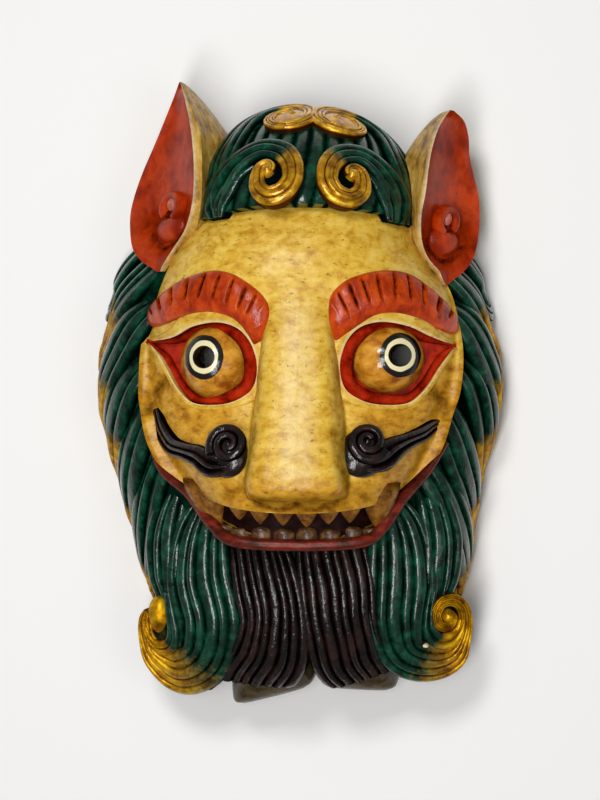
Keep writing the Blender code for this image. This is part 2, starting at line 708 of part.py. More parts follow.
def fill_pockets(body):
    """Drop the shells closed in between the locks, which leaves solid wood in their place."""
    bm = bmesh.new()
    bm.from_mesh(body.data)
    outside = {max(bm.verts, key=lambda vert: vert.co.z)}
    front = list(outside)
    while front:
        vert = front.pop()
        for edge in vert.link_edges:
            other = edge.other_vert(vert)
            if other not in outside:
                outside.add(other)
                front.append(other)
    inner = [vert for vert in bm.verts if vert not in outside]
    bmesh.ops.delete(bm, geom=inner, context="VERTS")
    bm.to_mesh(body.data)
    bm.free()


def thin_out(body, triangles):
    """Merge the slivers that the joins leave, down to a number of triangles."""
    modifier = body.modifiers.new("Thin out", "DECIMATE")
    body.data.calc_loop_triangles()
    modifier.ratio = triangles / len(body.data.loop_triangles)
    graph = bpy.context.evaluated_depsgraph_get()
    shape = bpy.data.meshes.new_from_object(body.evaluated_get(graph))
    body.modifiers.clear()
    old = body.data
    body.data = shape
    bpy.data.meshes.remove(old)


def main():
    """Carve the mask and stand its frame under the middle of the rim."""
    for leftover in list(bpy.data.objects):
        bpy.data.objects.remove(leftover)
    body = mane_core()
    for tool in [face(), nose(), hair_cap()]:
        combine(body, tool, "UNION")
    combine(body, mouth_cutter(), "DIFFERENCE")
    added = [lower_lip()] + teeth()
    for side in (-1, 1):
        combine(body, eye_cutter(side), "DIFFERENCE")
        added += [eyeball(side), brow(side), ear(side), jowl(side)]
        added += moustache(side) + ear_bud(side) + beard(side) + side_lock(side)
        added += mane_locks(side) + crown_curls(side) + front_curls(side)
    for tool in added:
        combine(body, tool, "UNION")
    fill_pockets(body)
    thin_out(body, CARVED_TRIANGLES)
    for tool in [hollow_cutter(), sight_hole(-1), sight_hole(1), rim_cutter()]:
        combine(body, tool, "DIFFERENCE")
    body.name = "mask"
    body.data.name = "mask"
    low = Vector([min(vert.co[axis] for vert in body.data.vertices) for axis in range(3)])
    high = Vector([max(vert.co[axis] for vert in body.data.vertices) for axis in range(3)])
    middle = (low + high) / 2
    body.data.transform(Matrix.Translation((-middle.x, -middle.y, -low.z)))
    body.data.materials.clear()
    body.data.materials.append(paint())
    body.data.shade_smooth()
    body.data.set_sharp_from_angle(angle=math.radians(40))


main()
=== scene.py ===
"""Looks of a carved snow lion mask: fine carving, lacquer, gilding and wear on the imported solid.

The shapes are drawn in carving millimetres: x to the right from the middle of the mane, y from the
mouth towards the ears, and z up from the flat rim. TO_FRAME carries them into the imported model's
frame.
"""

import logging
import math
from collections.abc import Callable, Sequence
from dataclasses import dataclass, field
from enum import Enum
from typing import TypeVar

import bmesh
import bpy
from mathutils import Matrix, Vector, noise


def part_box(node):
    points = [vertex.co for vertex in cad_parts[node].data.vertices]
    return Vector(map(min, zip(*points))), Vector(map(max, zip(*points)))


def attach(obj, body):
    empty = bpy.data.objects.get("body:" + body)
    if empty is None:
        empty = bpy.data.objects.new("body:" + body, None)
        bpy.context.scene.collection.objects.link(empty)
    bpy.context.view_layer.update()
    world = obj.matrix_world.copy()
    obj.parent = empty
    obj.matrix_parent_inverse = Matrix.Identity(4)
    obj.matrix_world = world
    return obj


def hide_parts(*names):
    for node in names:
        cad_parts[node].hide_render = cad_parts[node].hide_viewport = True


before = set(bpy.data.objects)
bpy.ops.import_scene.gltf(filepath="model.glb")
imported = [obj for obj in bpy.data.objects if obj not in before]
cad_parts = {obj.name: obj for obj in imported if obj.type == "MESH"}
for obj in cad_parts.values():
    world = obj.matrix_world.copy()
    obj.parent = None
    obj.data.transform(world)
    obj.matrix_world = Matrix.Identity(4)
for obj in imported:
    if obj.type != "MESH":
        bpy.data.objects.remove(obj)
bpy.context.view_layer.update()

Surface = Callable[[float, float], Vector]
Table = Sequence[tuple[float, float]]
Route = Sequence[tuple[float, float, float, float]]
Ring = list[Vector]
Marks = dict[str, float]
Form = bmesh.types.BMesh
Piece = bpy.types.Object
Tree = bpy.types.NodeTree
Socket = bpy.types.NodeSocket
Choice = TypeVar("Choice")

# The solid runs over this length, its left ear ends at this y and its right side at this x.
CARVED_LENGTH = 424.065
EAR_TIP = 216.005
RIGHT_SIDE = 142.432
LOW, HIGH = (Vector(corner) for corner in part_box("mask"))
UNIT = (HIGH.y - LOW.y) / CARVED_LENGTH
TO_FRAME = Matrix.Translation((HIGH.x - RIGHT_SIDE * UNIT, HIGH.y - EAR_TIP * UNIT, LOW.z))
TO_FRAME = TO_FRAME @ Matrix.Scale(UNIT, 4)

# The nose, eyes and mouth stand to one side of the mane's middle, as they were carved.
FACE_MIDDLE = 9.0
PARTING = 4.0
SIGHT_HOLE_RADIUS = 7.5


class Side(Enum):
    """Side of the mask, as seen by someone who looks at the face."""

    LEFT = -1
    RIGHT = 1

    @property
    def label(self) -> str:
        """Name of the side in lower case."""
        return self.name.lower()

    def pick(self, left: Choice, right: Choice) -> Choice:
        """Value for this side, out of one for each."""
        return left if self is Side.LEFT else right


# Small mathematics.


def smooth_value(table: Table, x: float) -> float:
    """Value of a smooth curve through the pairs of a table.

    Args:
        table: Pairs of place and value, sorted by place.
        x: Place to read.

    Returns:
        The value there, held at the table's ends.
    """
    last = len(table) - 1
    x = min(max(x, table[0][0]), table[last][0])
    index = 0
    while index < last - 1 and x > table[index + 1][0]:
        index += 1
    x0, y0 = table[index]
    x1, y1 = table[index + 1]
    before = table[max(index - 1, 0)]
    after = table[min(index + 2, last)]
    span = x1 - x0
    rise = (y1 - before[1]) / (x1 - before[0]) * span
    fall = (after[1] - y0) / (after[0] - x0) * span
    t = (x - x0) / span
    return (y0 * (2 * t ** 3 - 3 * t ** 2 + 1) + rise * (t ** 3 - 2 * t ** 2 + t)
            + y1 * (3 * t ** 2 - 2 * t ** 3) + fall * (t ** 3 - t ** 2))


def smooth_path(points: Sequence[Sequence[float]], count: int) -> list[list[float]]:
    """Smooth curve through a few points of any dimension.

    Args:
        points: Points the curve runs through.
        count: How many points to return.

    Returns:
        The points, evenly numbered from the first to the last.
    """
    columns = [[(index, point[axis]) for index, point in enumerate(points)]
               for axis in range(len(points[0]))]
    last = len(points) - 1
    return [[smooth_value(column, last * step / (count - 1)) for column in columns]
            for step in range(count)]


def ramp(low: float, high: float, x: float) -> float:
    """Smooth step from 0 at low to 1 at high."""
    t = min(max((x - low) / (high - low), 0.0), 1.0)
    return t * t * (3 - 2 * t)


def soft_max(a: float, b: float, reach: float) -> float:
    """Larger of two heights, with the inner corner between them filled over a reach."""
    overlap = max(reach - abs(a - b), 0) / reach
    return max(a, b) + overlap * overlap * reach / 4


def hand(point: Vector, size: float, seed: float = 0.0) -> float:
    """Uneven hand of the carver: smooth noise from -1 to 1 with bumps of a size."""
    return noise.noise(point / size + Vector((seed, seed * 0.7, -seed)))


# Surfaces of the head.

CORE_HALF_WIDTH = ((-182, 44), (-176, 66), (-165, 84), (-150, 96), (-120, 108), (-90, 114),
                   (-50, 123), (0, 135), (35, 134), (60, 130), (100, 113), (130, 95), (160, 74),
                   (180, 50), (192, 24))
CORE_HEIGHT = ((-182, 26), (-165, 46), (-150, 62), (-120, 78), (-90, 86), (-50, 92), (0, 96),
               (60, 100), (120, 100), (160, 84), (180, 58), (192, 30))
CORE_MIDDLE = ((-182, 3), (-140, 4), (-110, 4), (-80, 2), (-45, 0), (192, 0))
FACE_EDGE = 42.0
FACE_HALF_WIDTH = ((-97, 36), (-92, 46), (-82, 57), (-68, 68), (-50, 84), (-29, 97), (-10, 105),
                   (6, 110), (30, 111), (54, 108), (75, 103), (96, 94), (116, 81), (134, 64))
FACE_LEFT_SWELL = ((-97, 0), (-60, 6), (-30, 7), (10, 1), (40, 0))
FACE_RIGHT_SWELL = ((-97, 0), (-60, 0), (-31, -2.8), (-7, -5.5), (31, -4.6), (55, -5), (76, -6.6),
                    (85, -10.5), (104, -10.5), (120, -4), (134, 0))
FACE_HEIGHT = ((-97, 100), (-90, 114), (-75, 131), (-60, 132), (-40, 126), (-15, 117), (10, 114),
               (35, 117), (60, 123), (90, 122), (121, 112), (134, 104))
# The cheeks swell by a height, about a place and over a size, both across and along.
CHEEK_HEIGHT = 8.0
CHEEK_PLACE = (48.0, -36.0)
CHEEK_SIZE = (26.0, 20.0)
NOSE_HALF_WIDTH = ((-65, 29.5), (-52, 31), (-34, 29.5), (-13, 27.5), (3, 25.5), (32, 24), (60, 22),
                   (78, 17))
NOSE_HEIGHT = ((-68, 112), (-65.5, 136), (-63, 146), (-59, 151), (-51, 152), (-34, 147),
               (-13, 141), (3, 137), (32, 131), (50, 127), (64, 123), (84, 117), (104, 104))
NOSE_PROFILE = ((0, 0.8), (0.4, 0), (0.7, -1.4), (0.88, -4.5), (1.0, -11), (1.1, -24), (1.25, -60))
NOSE_FILLET = 5.0
CAP_MIDDLE = Vector((7, 105, 25))
CAP_RADII = Vector((90, 95, 100))
HAIRLINE = 127.0
HAIRLINE_DROOP = 13.0

# One radian round the mane and over the cap is this long.
MANE_RADIAN = 100.0
CAP_RADIAN = 97.0
# Outwards is away from this line in the middle of the head.
SPINE_HALF_LENGTH = 150.0
SPINE_HEIGHT = 10.0
# A height clear above the whole mask, and one inside its walls.
CLEAR_ABOVE = 220.0
INSIDE = 10.0
# The hair stops this far over the floor.
FLOOR_GAP = 0.4


@dataclass(frozen=True)
class Crease:
    """Line cut into the face, with where it runs, its depth and its half width."""

    line: Sequence[tuple[float, float]]
    depth: float
    width: float

    def at(self, x: float, y: float) -> float:
        """Share of the crease's depth at a place on the face."""
        nearest = min(segment_distance((x, y), near, far)
                      for near, far in zip(self.line, self.line[1:]))
        return math.exp(-(nearest / self.width) ** 2) if nearest < 3 * self.width else 0.0


def segment_distance(place: Sequence[float], near: Sequence[float], far: Sequence[float]) -> float:
    """Distance in the plane from a place to a straight line between two points.

    Args:
        place: The place.
        near: First end of the line.
        far: Last end of the line.

    Returns:
        The distance, measured to the nearest end beyond them.
    """
    run = (far[0] - near[0], far[1] - near[1])
    away = (place[0] - near[0], place[1] - near[1])
    share = (away[0] * run[0] + away[1] * run[1]) / (run[0] ** 2 + run[1] ** 2)
    share = min(max(share, 0), 1)
    return math.hypot(away[0] - share * run[0], away[1] - share * run[1])


CREASES = (
    Crease(((-90, 14), (-99, 6), (-104, -6)), 3.5, 4.5),
    Crease(((84, 8), (92, 1), (95, -10)), 4.0, 4.0),
    Crease(((-27, -20), (-31, -42), (-37, -58), (-48, -64)), 2.0, 3.0),
    Crease(((25, -20), (29, -42), (35, -58), (46, -64)), 2.0, 3.0),
    Crease(((-28, -64), (-22, -67.5), (-12, -70.5), (-4, -69), (0, -66)), 3.4, 1.8),
    Crease(((28, -64), (22, -67.5), (12, -70.5), (4, -69), (0, -66)), 3.4, 1.8),
    Crease(((0, -66), (0, -72)), 1.6, 1.2),
)


def face_reach(y: float, left: bool) -> float:
    """Half the face's width at a place along it; its left side is the fuller one."""
    swell = FACE_LEFT_SWELL if left else FACE_RIGHT_SWELL
    return smooth_value(FACE_HALF_WIDTH, y) + smooth_value(swell, y)


def bare_face(x: float, y: float) -> float:
    """Height of the face without its nose.

    Args:
        x: Distance from the middle of the face.
        y: Place along the mask.

    Returns:
        The height over the rim.
    """
    share = min(abs(x) / face_reach(y, x < 0), 1.0)
    dome = (1 - share ** 2.5) ** 0.5
    height = FACE_EDGE + (smooth_value(FACE_HEIGHT, y) - FACE_EDGE) * dome
    return height + CHEEK_HEIGHT * math.exp(-((abs(x) - CHEEK_PLACE[0]) / CHEEK_SIZE[0]) ** 2
                                            - ((y - CHEEK_PLACE[1]) / CHEEK_SIZE[1]) ** 2)


def carved_face(x: float, y: float) -> tuple[float, Marks]:
    """Finished face at a place.

    Args:
        x: Distance from the middle of the face.
        y: Place along the mask.

    Returns:
        The height, and the marks: painted shade in the creases, about the nose and at the rim; how
            rich the yellow is, which below the nose is also painted shade; and wear with a painted
            highlight on the nose.
    """
    height = bare_face(x, y)
    nose = smooth_value(NOSE_HEIGHT, y) + smooth_value(
        NOSE_PROFILE, abs(x) / smooth_value(NOSE_HALF_WIDTH, y))
    bump = nose - height
    height = soft_max(height, nose, NOSE_FILLET)
    dirt = 0.0
    # Each crease is cut in and darkened with painted shade.
    for crease in CREASES:
        share = crease.at(x, y)
        height -= crease.depth * share
        dirt = max(dirt, share * min(crease.depth / 3, 1))
    # Painted shade also darkens the foot of the nose's sides, its underside and the face's rim.
    share = abs(x) / face_reach(y, x < 0)
    dirt = max(dirt, 0.55 * math.exp(-(bump / 5) ** 2) * ramp(70, 30, y),
               0.5 * ramp(-57, -65, y) * ramp(34, 28, abs(x)), 0.6 * ramp(0.955, 1.0, share))
    place = Vector((x, y, 0))
    height += (0.45 * hand(place, 17, 3) + 0.18 * hand(place, 6, 9)) * ramp(0.97, 0.8, share)
    # Richer yellow towards the cheeks; the deeper yellow below the nose is painted shade on its tip
    # and the muzzle.
    rich_and_shade = max(ramp(28, 62, abs(x)) * ramp(38, 5, y), 0.9 * ramp(-42, -66, y))
    # Pale down the nose's ridge: worn paint and a painted highlight.
    worn = 0.35 * ramp(15, 4, abs(x - 2)) * ramp(-58, -44, y) * ramp(75, 35, y)
    return height, {"dirt": dirt, "rich_and_shade": rich_and_shade, "worn": worn}


def on_face(side: Side) -> Surface:
    """Surface of one half of the bare face.

    Args:
        side: Which half.

    Returns:
        The surface: outwards from the middle of the face, and along the mask.
    """
    def place(x: float, y: float) -> Vector:
        """Point of the surface."""
        return Vector((FACE_MIDDLE + side.value * x, y, bare_face(side.value * x, y)))
    return place


def on_mane(side: Side) -> Surface:
    """Surface of one side of the mane.

    Args:
        side: Which side.

    Returns:
        The surface: up from the rim, and along the mask.
    """
    def place(reach: float, y: float) -> Vector:
        """Point of the surface."""
        across = side.value * smooth_value(CORE_HALF_WIDTH, y) * math.cos(reach / MANE_RADIAN)
        return Vector((smooth_value(CORE_MIDDLE, y) + across, y,
                       smooth_value(CORE_HEIGHT, y) * math.sin(reach / MANE_RADIAN)))
    return place


def on_cap(x: float, rise: float) -> Vector:
    """Point of the hair cap.

    Args:
        x: Distance from the cap's middle.
        rise: Way up from the face and back over the crown.

    Returns:
        The point.
    """
    girth = math.sqrt(max(1 - (x / CAP_RADII.x) ** 2, 0.02))
    angle = rise / CAP_RADIAN
    return CAP_MIDDLE + Vector((x, CAP_RADII.y * girth * math.sin(angle),
                                CAP_RADII.z * girth * math.cos(angle)))


def on_bulge(middle: Sequence[float], lean: float, tip: float, radius: float) -> Surface:
    """Rounded patch about a point.

    Args:
        middle: The patch's highest point.
        lean: Turn outwards, sideways, in degrees.
        tip: Turn down towards the beard, in degrees.
        radius: How strongly the patch is rounded.

    Returns:
        The surface, with its two directions along x and y.
    """
    turn = Matrix.Rotation(math.radians(lean), 3, "Y") @ Matrix.Rotation(math.radians(tip), 3, "X")
    centre = Vector(middle)

    def place(x: float, y: float) -> Vector:
        """Point of the surface."""
        return centre + turn @ Vector((x, y, -(x * x + y * y) / (2 * radius)))
    return place


def lifted(surface: Surface, a: float, b: float, height: float) -> Vector:
    """Point over a surface by a height along its normal, outwards from the middle of the head.

    Args:
        surface: The surface.
        a: First coordinate on it.
        b: Second coordinate on it.
        height: Height over it, below it where negative.

    Returns:
        The point.
    """
    here = surface(a, b)
    normal = (surface(a + 0.5, b) - here).cross(surface(a, b + 0.5) - here).normalized()
    spine = Vector((FACE_MIDDLE, min(max(here.y, -SPINE_HALF_LENGTH), SPINE_HALF_LENGTH),
                    SPINE_HEIGHT))
    if normal.dot(here - spine) < 0:
        normal.negate()
    return here + normal * height


def heading(path: Sequence[Sequence[float]], index: int) -> Vector:
    """Direction of a path in its own plane at one of its points.

    Args:
        path: The path's points.
        index: Which point.

    Returns:
        The direction, of length 1.
    """
    before = path[max(index - 1, 0)]
    after = path[min(index + 1, len(path) - 1)]
    return Vector((after[0] - before[0], after[1] - before[1])).normalized()


def placed(route: Route, spread: float, across: float = 0.0, along: float = 0.0) -> Route:
    """Route spread or mirrored across, then moved to its place."""
    return [(across + spread * a, along + b, width, lift) for a, b, width, lift in route]


# Finishes.


def linear(code: str) -> tuple[float, float, float, float]:
    """Scene-linear colour of an sRGB hex code such as E8CD7C."""
    parts = [int(code[start:start + 2], 16) / 255 for start in (0, 2, 4)]
    return (*(c / 12.92 if c <= 0.04045 else ((c + 0.055) / 1.055) ** 2.4 for c in parts), 1.0)


# A colour mix has its two colours and its result at these sockets.
MIX_UNDER, MIX_OVER, MIXED = 6, 7, 2
# Varnish thins from this depth of groove, of dirt and of painted shade, and is gone at the other.
VARNISH_FULL, VARNISH_GONE = 0.08, 0.3
WAVE_DEPTH = 0.0008
VARNISH_IOR = 1.45


def per_metre(size: float) -> float:
    """Texture scale whose pattern repeats over a size in millimetres."""
    return 1000.0 / size


def add_node(tree: Tree, kind: str, inputs: dict | None = None,
             **settings: object) -> bpy.types.Node:
    """Adds a node to a material.

    Args:
        tree: The material's node tree.
        kind: The node's type, without its ShaderNode prefix.
        inputs: Value, colour or feeding socket for each input, by its name or number.
        settings: Properties of the node itself.

    Returns:
        The node.
    """
    node = tree.nodes.new("ShaderNode" + kind)
    for name, value in settings.items():
        setattr(node, name, value)
    for name, value in (inputs or {}).items():
        if isinstance(value, Socket):
            tree.links.new(value, node.inputs[name])
        else:
            node.inputs[name].default_value = value
    return node


@dataclass(frozen=True)
class Paint:
    """Brushed oil paint on carved wood under thick hand-laid varnish.

    The paint is laid in short strokes, so its tone wanders; the varnish gives sharp small glints.
    Paint under varnish has little gloss of its own; grooves, dirt and painted shade hold almost no
    varnish.
    """

    name: str
    tones: tuple[str, str, str]
    stroke: tuple[float, float, float] = (14.0, 5.0, 9.0)
    # Colour and strength of the grime, which also darkens creases, grooves and recesses as painted
    # shade.
    dirt: str = "3A2410"
    dirt_amount: float = 0.5
    speck: float = 0.64
    roughness: float = 0.38
    coat: float = 0.75
    coat_roughness: float = 0.12
    gloss: float = 0.12
    bump: float = 0.35
    bump_size: float = 3.0
    fleck: tuple[float, float, float] = (4.5, 4.5, 4.5)
    # Pale colour of worn paint, also laid on rims and ridges as painted highlight.
    worn: str = "E8D4B0"

    def material(self) -> bpy.types.Material:
        """The finish's material, made once and shared."""
        known = bpy.data.materials.get(self.name)
        return known if known else self.make()

    def make(self) -> bpy.types.Material:
        """Builds the material.

        Returns:
            The new material.
        """
        material = bpy.data.materials.new(self.name)
        material.use_nodes = True
        tree = material.node_tree
        shader = tree.nodes["Principled BSDF"]
        where = add_node(tree, "TexCoord").outputs["Object"]
        colour = self.colour(tree, where)
        tree.links.new(colour, shader.inputs["Base Color"])
        left = self.varnish(tree)
        for name, full in (("Coat Weight", self.coat), ("Specular IOR Level", self.gloss)):
            share = add_node(tree, "Math", {0: left, 1: full}, operation="MULTIPLY")
            tree.links.new(share.outputs[0], shader.inputs[name])
        shader.inputs["Coat Roughness"].default_value = self.coat_roughness
        shader.inputs["IOR"].default_value = VARNISH_IOR
        shader.inputs["Coat IOR"].default_value = VARNISH_IOR
        rough = add_node(tree, "TexNoise", {"Vector": where, "Scale": per_metre(9), "Detail": 5})
        spread = add_node(tree, "MapRange", {"Value": rough.outputs["Fac"],
                                             "From Min": 0.3, "From Max": 0.7,
                                             "To Min": self.roughness - 0.1,
                                             "To Max": self.roughness + 0.12})
        tree.links.new(spread.outputs["Result"], shader.inputs["Roughness"])
        bump = add_node(tree, "Bump", {"Height": self.waves(tree, where), "Strength": self.bump,
                                       "Distance": WAVE_DEPTH})
        tree.links.new(bump.outputs["Normal"], shader.inputs["Normal"])
        tree.links.new(bump.outputs["Normal"], shader.inputs["Coat Normal"])
        return material

    def varnish(self, tree: Tree) -> Socket:
        """Share of the varnish left on the paint, less in grooves and where dirt and painted shade
        are marked.

        Args:
            tree: The material's node tree.

        Returns:
            The share's socket.
        """
        dirt = add_node(tree, "Attribute", attribute_name="dirt")
        groove = add_node(tree, "Attribute", attribute_name="groove")
        deep = add_node(tree, "Math", {0: dirt.outputs["Fac"], 1: groove.outputs["Fac"]},
                        operation="MAXIMUM")
        left = add_node(tree, "MapRange", {"Value": deep.outputs[0], "From Min": VARNISH_FULL,
                                           "From Max": VARNISH_GONE, "To Min": 1.0,
                                           "To Max": 0.0})
        return left.outputs["Result"]

    def waves(self, tree: Tree, where: Socket) -> Socket:
        """Height of the varnish's small waves."""
        waves = add_node(tree, "TexNoise", {"Vector": where, "Scale": per_metre(self.bump_size),
                                            "Detail": 4, "Roughness": 0.6})
        return waves.outputs["Fac"]

    def strokes(self, tree: Tree, where: Socket, tones: tuple[str, str, str]) -> Socket:
        """Paint laid in strokes of three tones.

        Args:
            tree: The material's node tree.
            where: Socket of the place.
            tones: Light, middle and dark tone.

        Returns:
            The colour's socket.
        """
        drawn = add_node(tree, "Mapping", {"Vector": where,
                                           "Scale": tuple(per_metre(size) for size in self.stroke)})
        patch = add_node(tree, "TexNoise", {"Vector": drawn.outputs["Vector"], "Scale": 1.0,
                                            "Detail": 7, "Roughness": 0.62, "Distortion": 0.3})
        tone = add_node(tree, "ValToRGB", {"Fac": patch.outputs["Fac"]})
        ladder = tone.color_ramp.elements
        ladder[0].position, ladder[0].color = 0.34, linear(tones[2])
        ladder[1].position, ladder[1].color = 0.66, linear(tones[0])
        ladder.new(0.5).color = linear(tones[1])
        return tone.outputs["Color"]

    def soiled(self, tree: Tree, where: Socket, colour: Socket) -> Socket:
        """Dirt over a colour: small specks all over; pale wear and painted highlight, and grime and
        painted shade, where the piece's attributes say.

        Args:
            tree: The material's node tree.
            where: Socket of the place.
            colour: Socket of the clean colour.

        Returns:
            The soiled colour's socket.
        """
        drawn = add_node(tree, "Mapping", {"Vector": where,
                                           "Scale": tuple(per_metre(size) for size in self.fleck)})
        flecks = add_node(tree, "TexNoise", {"Vector": drawn.outputs["Vector"], "Scale": 1.0,
                                             "Detail": 8, "Roughness": 0.72})
        speck = add_node(tree, "MapRange", {"Value": flecks.outputs["Fac"], "From Min": self.speck,
                                            "From Max": self.speck + 0.07, "To Max": 0.75})
        mark = add_node(tree, "Attribute", attribute_name="dirt")
        uneven = add_node(tree, "TexNoise", {"Vector": where, "Scale": per_metre(7), "Detail": 6,
                                             "Roughness": 0.7})
        patchy = add_node(tree, "MapRange", {"Value": uneven.outputs["Fac"], "From Min": 0.35,
                                             "From Max": 0.6, "To Min": 0.35, "To Max": 1.0})
        # Pale where the paint is worn, and as painted highlight on rims and ridges.
        bare = add_node(tree, "Attribute", attribute_name="worn")
        rubbed = add_node(tree, "Math", {0: bare.outputs["Fac"], 1: patchy.outputs["Result"]},
                          operation="MULTIPLY", use_clamp=True)
        pale = add_node(tree, "Mix", {"Factor": rubbed.outputs[0], MIX_UNDER: colour,
                                      MIX_OVER: linear(self.worn)}, data_type="RGBA")
        colour = pale.outputs[MIXED]
        # Grime, which also serves as painted shade in creases, grooves and under things.
        grime = add_node(tree, "Math", {0: mark.outputs["Fac"], 1: patchy.outputs["Result"]},
                         operation="MULTIPLY")
        grime = add_node(tree, "Math", {0: grime.outputs[0], 1: self.dirt_amount},
                         operation="MULTIPLY", use_clamp=True)
        most = add_node(tree, "Math", {0: grime.outputs[0], 1: speck.outputs["Result"]},
                        operation="MAXIMUM", use_clamp=True)
        mix = add_node(tree, "Mix", {"Factor": most.outputs[0], MIX_UNDER: colour,
                                     MIX_OVER: linear(self.dirt)}, data_type="RGBA")
        return mix.outputs[MIXED]

    def colour(self, tree: Tree, where: Socket) -> Socket:
        """Colour of the finish, from its place and the piece's attributes."""
        return self.soiled(tree, where, self.strokes(tree, where, self.tones))


@dataclass(frozen=True)
class FacePaint(Paint):
    """Cream paint that was toned with ochre glaze, wiped off in short level strokes."""

    # Deeper yellow, which on the nose's tip and the muzzle is also painted shade.
    rich_and_shade: tuple[str, str, str] = ("D8A636", "C48C22", "9A6414")

    def colour(self, tree: Tree, where: Socket) -> Socket:
        """Cream and rich yellow, the rich one partly painted shade, mixed by an attribute, under
        the dirt and painted shade.

        Args:
            tree: The material's node tree.
            where: Socket of the place.

        Returns:
            The colour's socket.
        """
        pale = self.strokes(tree, where, self.tones)
        deep = self.strokes(tree, where, self.rich_and_shade)
        mark = add_node(tree, "Attribute", attribute_name="rich_and_shade")
        patch = add_node(tree, "TexNoise", {"Vector": where, "Scale": per_metre(26), "Detail": 5})
        share = add_node(tree, "Math", {0: mark.outputs["Fac"], 1: patch.outputs["Fac"]})
        share = add_node(tree, "MapRange", {"Value": share.outputs[0], "From Min": 0.45,
                                            "From Max": 1.15})
        mix = add_node(tree, "Mix", {"Factor": share.outputs["Result"], MIX_UNDER: pale,
                                     MIX_OVER: deep}, data_type="RGBA")
        return self.soiled(tree, where, mix.outputs[MIXED])


@dataclass(frozen=True)
class HairPaint(Paint):
    """Hair paint with painted shade in its grooves, that turns to gold where the attribute gold
    says.
    """

    # Near black painted shade for the grooves of the paint, and below it for those of the gold.
    groove: str = "021410"
    gold: tuple[str, str, str] = ("E8B41C", "C98A0E", "8A5208")
    gold_groove: str = "4A1E08"
    flakes: float = 0.55

    def make(self) -> bpy.types.Material:
        """Builds the material; the gold is bronze powder, so about half of it shines as metal.

        Returns:
            The new material.
        """
        material = super().make()
        tree = material.node_tree
        metal = add_node(tree, "Math", {0: tree.nodes["gilt"].outputs["Result"], 1: self.flakes},
                         operation="MULTIPLY")
        tree.links.new(metal.outputs[0], tree.nodes["Principled BSDF"].inputs["Metallic"])
        return material

    def waves(self, tree: Tree, where: Socket) -> Socket:
        """Waves drawn out along the strands, from the attributes run and lane, over small ones.

        Args:
            tree: The material's node tree.
            where: Socket of the place.

        Returns:
            The height's socket.
        """
        run = add_node(tree, "Attribute", attribute_name="run")
        lane = add_node(tree, "Attribute", attribute_name="lane")
        drawn = add_node(tree, "CombineXYZ", {"X": run.outputs["Fac"], "Y": lane.outputs["Fac"]})
        long = add_node(tree, "TexNoise", {"Vector": drawn.outputs["Vector"], "Scale": 1.0,
                                           "Detail": 4, "Roughness": 0.6})
        both = add_node(tree, "Math", {0: super().waves(tree, where), 1: 0.35,
                                       2: long.outputs["Fac"]}, operation="MULTIPLY_ADD")
        return both.outputs[0]

    def colour(self, tree: Tree, where: Socket) -> Socket:
        """Paint and gold, each darkened with painted shade in its grooves, mixed by the attribute
        gold.

        Args:
            tree: The material's node tree.
            where: Socket of the place.

        Returns:
            The colour's socket.
        """
        # Painted shade darkens the grooves, more as they deepen.
        deep = add_node(tree, "Attribute", attribute_name="groove")
        sharp = add_node(tree, "MapRange", {"Value": deep.outputs["Fac"], "From Min": 0.25,
                                            "From Max": 0.72})
        layers = []
        for tones, shade in ((self.tones, self.groove), (self.gold, self.gold_groove)):
            mix = add_node(tree, "Mix", {"Factor": sharp.outputs["Result"],
                                         MIX_UNDER: self.strokes(tree, where, tones),
                                         MIX_OVER: linear(shade)}, data_type="RGBA")
            layers.append(mix.outputs[MIXED])
        mark = add_node(tree, "Attribute", attribute_name="gold")
        ragged = add_node(tree, "TexNoise", {"Vector": where, "Scale": per_metre(5), "Detail": 6,
                                             "Roughness": 0.7})
        share = add_node(tree, "Math", {0: ragged.outputs["Fac"], 1: 0.5, 2: mark.outputs["Fac"]},
                         operation="MULTIPLY_ADD")
        share = add_node(tree, "MapRange", {"Value": share.outputs[0], "From Min": 0.55,
                                            "From Max": 0.95}, name="gilt")
        mix = add_node(tree, "Mix", {"Factor": share.outputs["Result"], MIX_UNDER: layers[0],
                                     MIX_OVER: layers[1]}, data_type="RGBA")
        return self.soiled(tree, where, mix.outputs[MIXED])


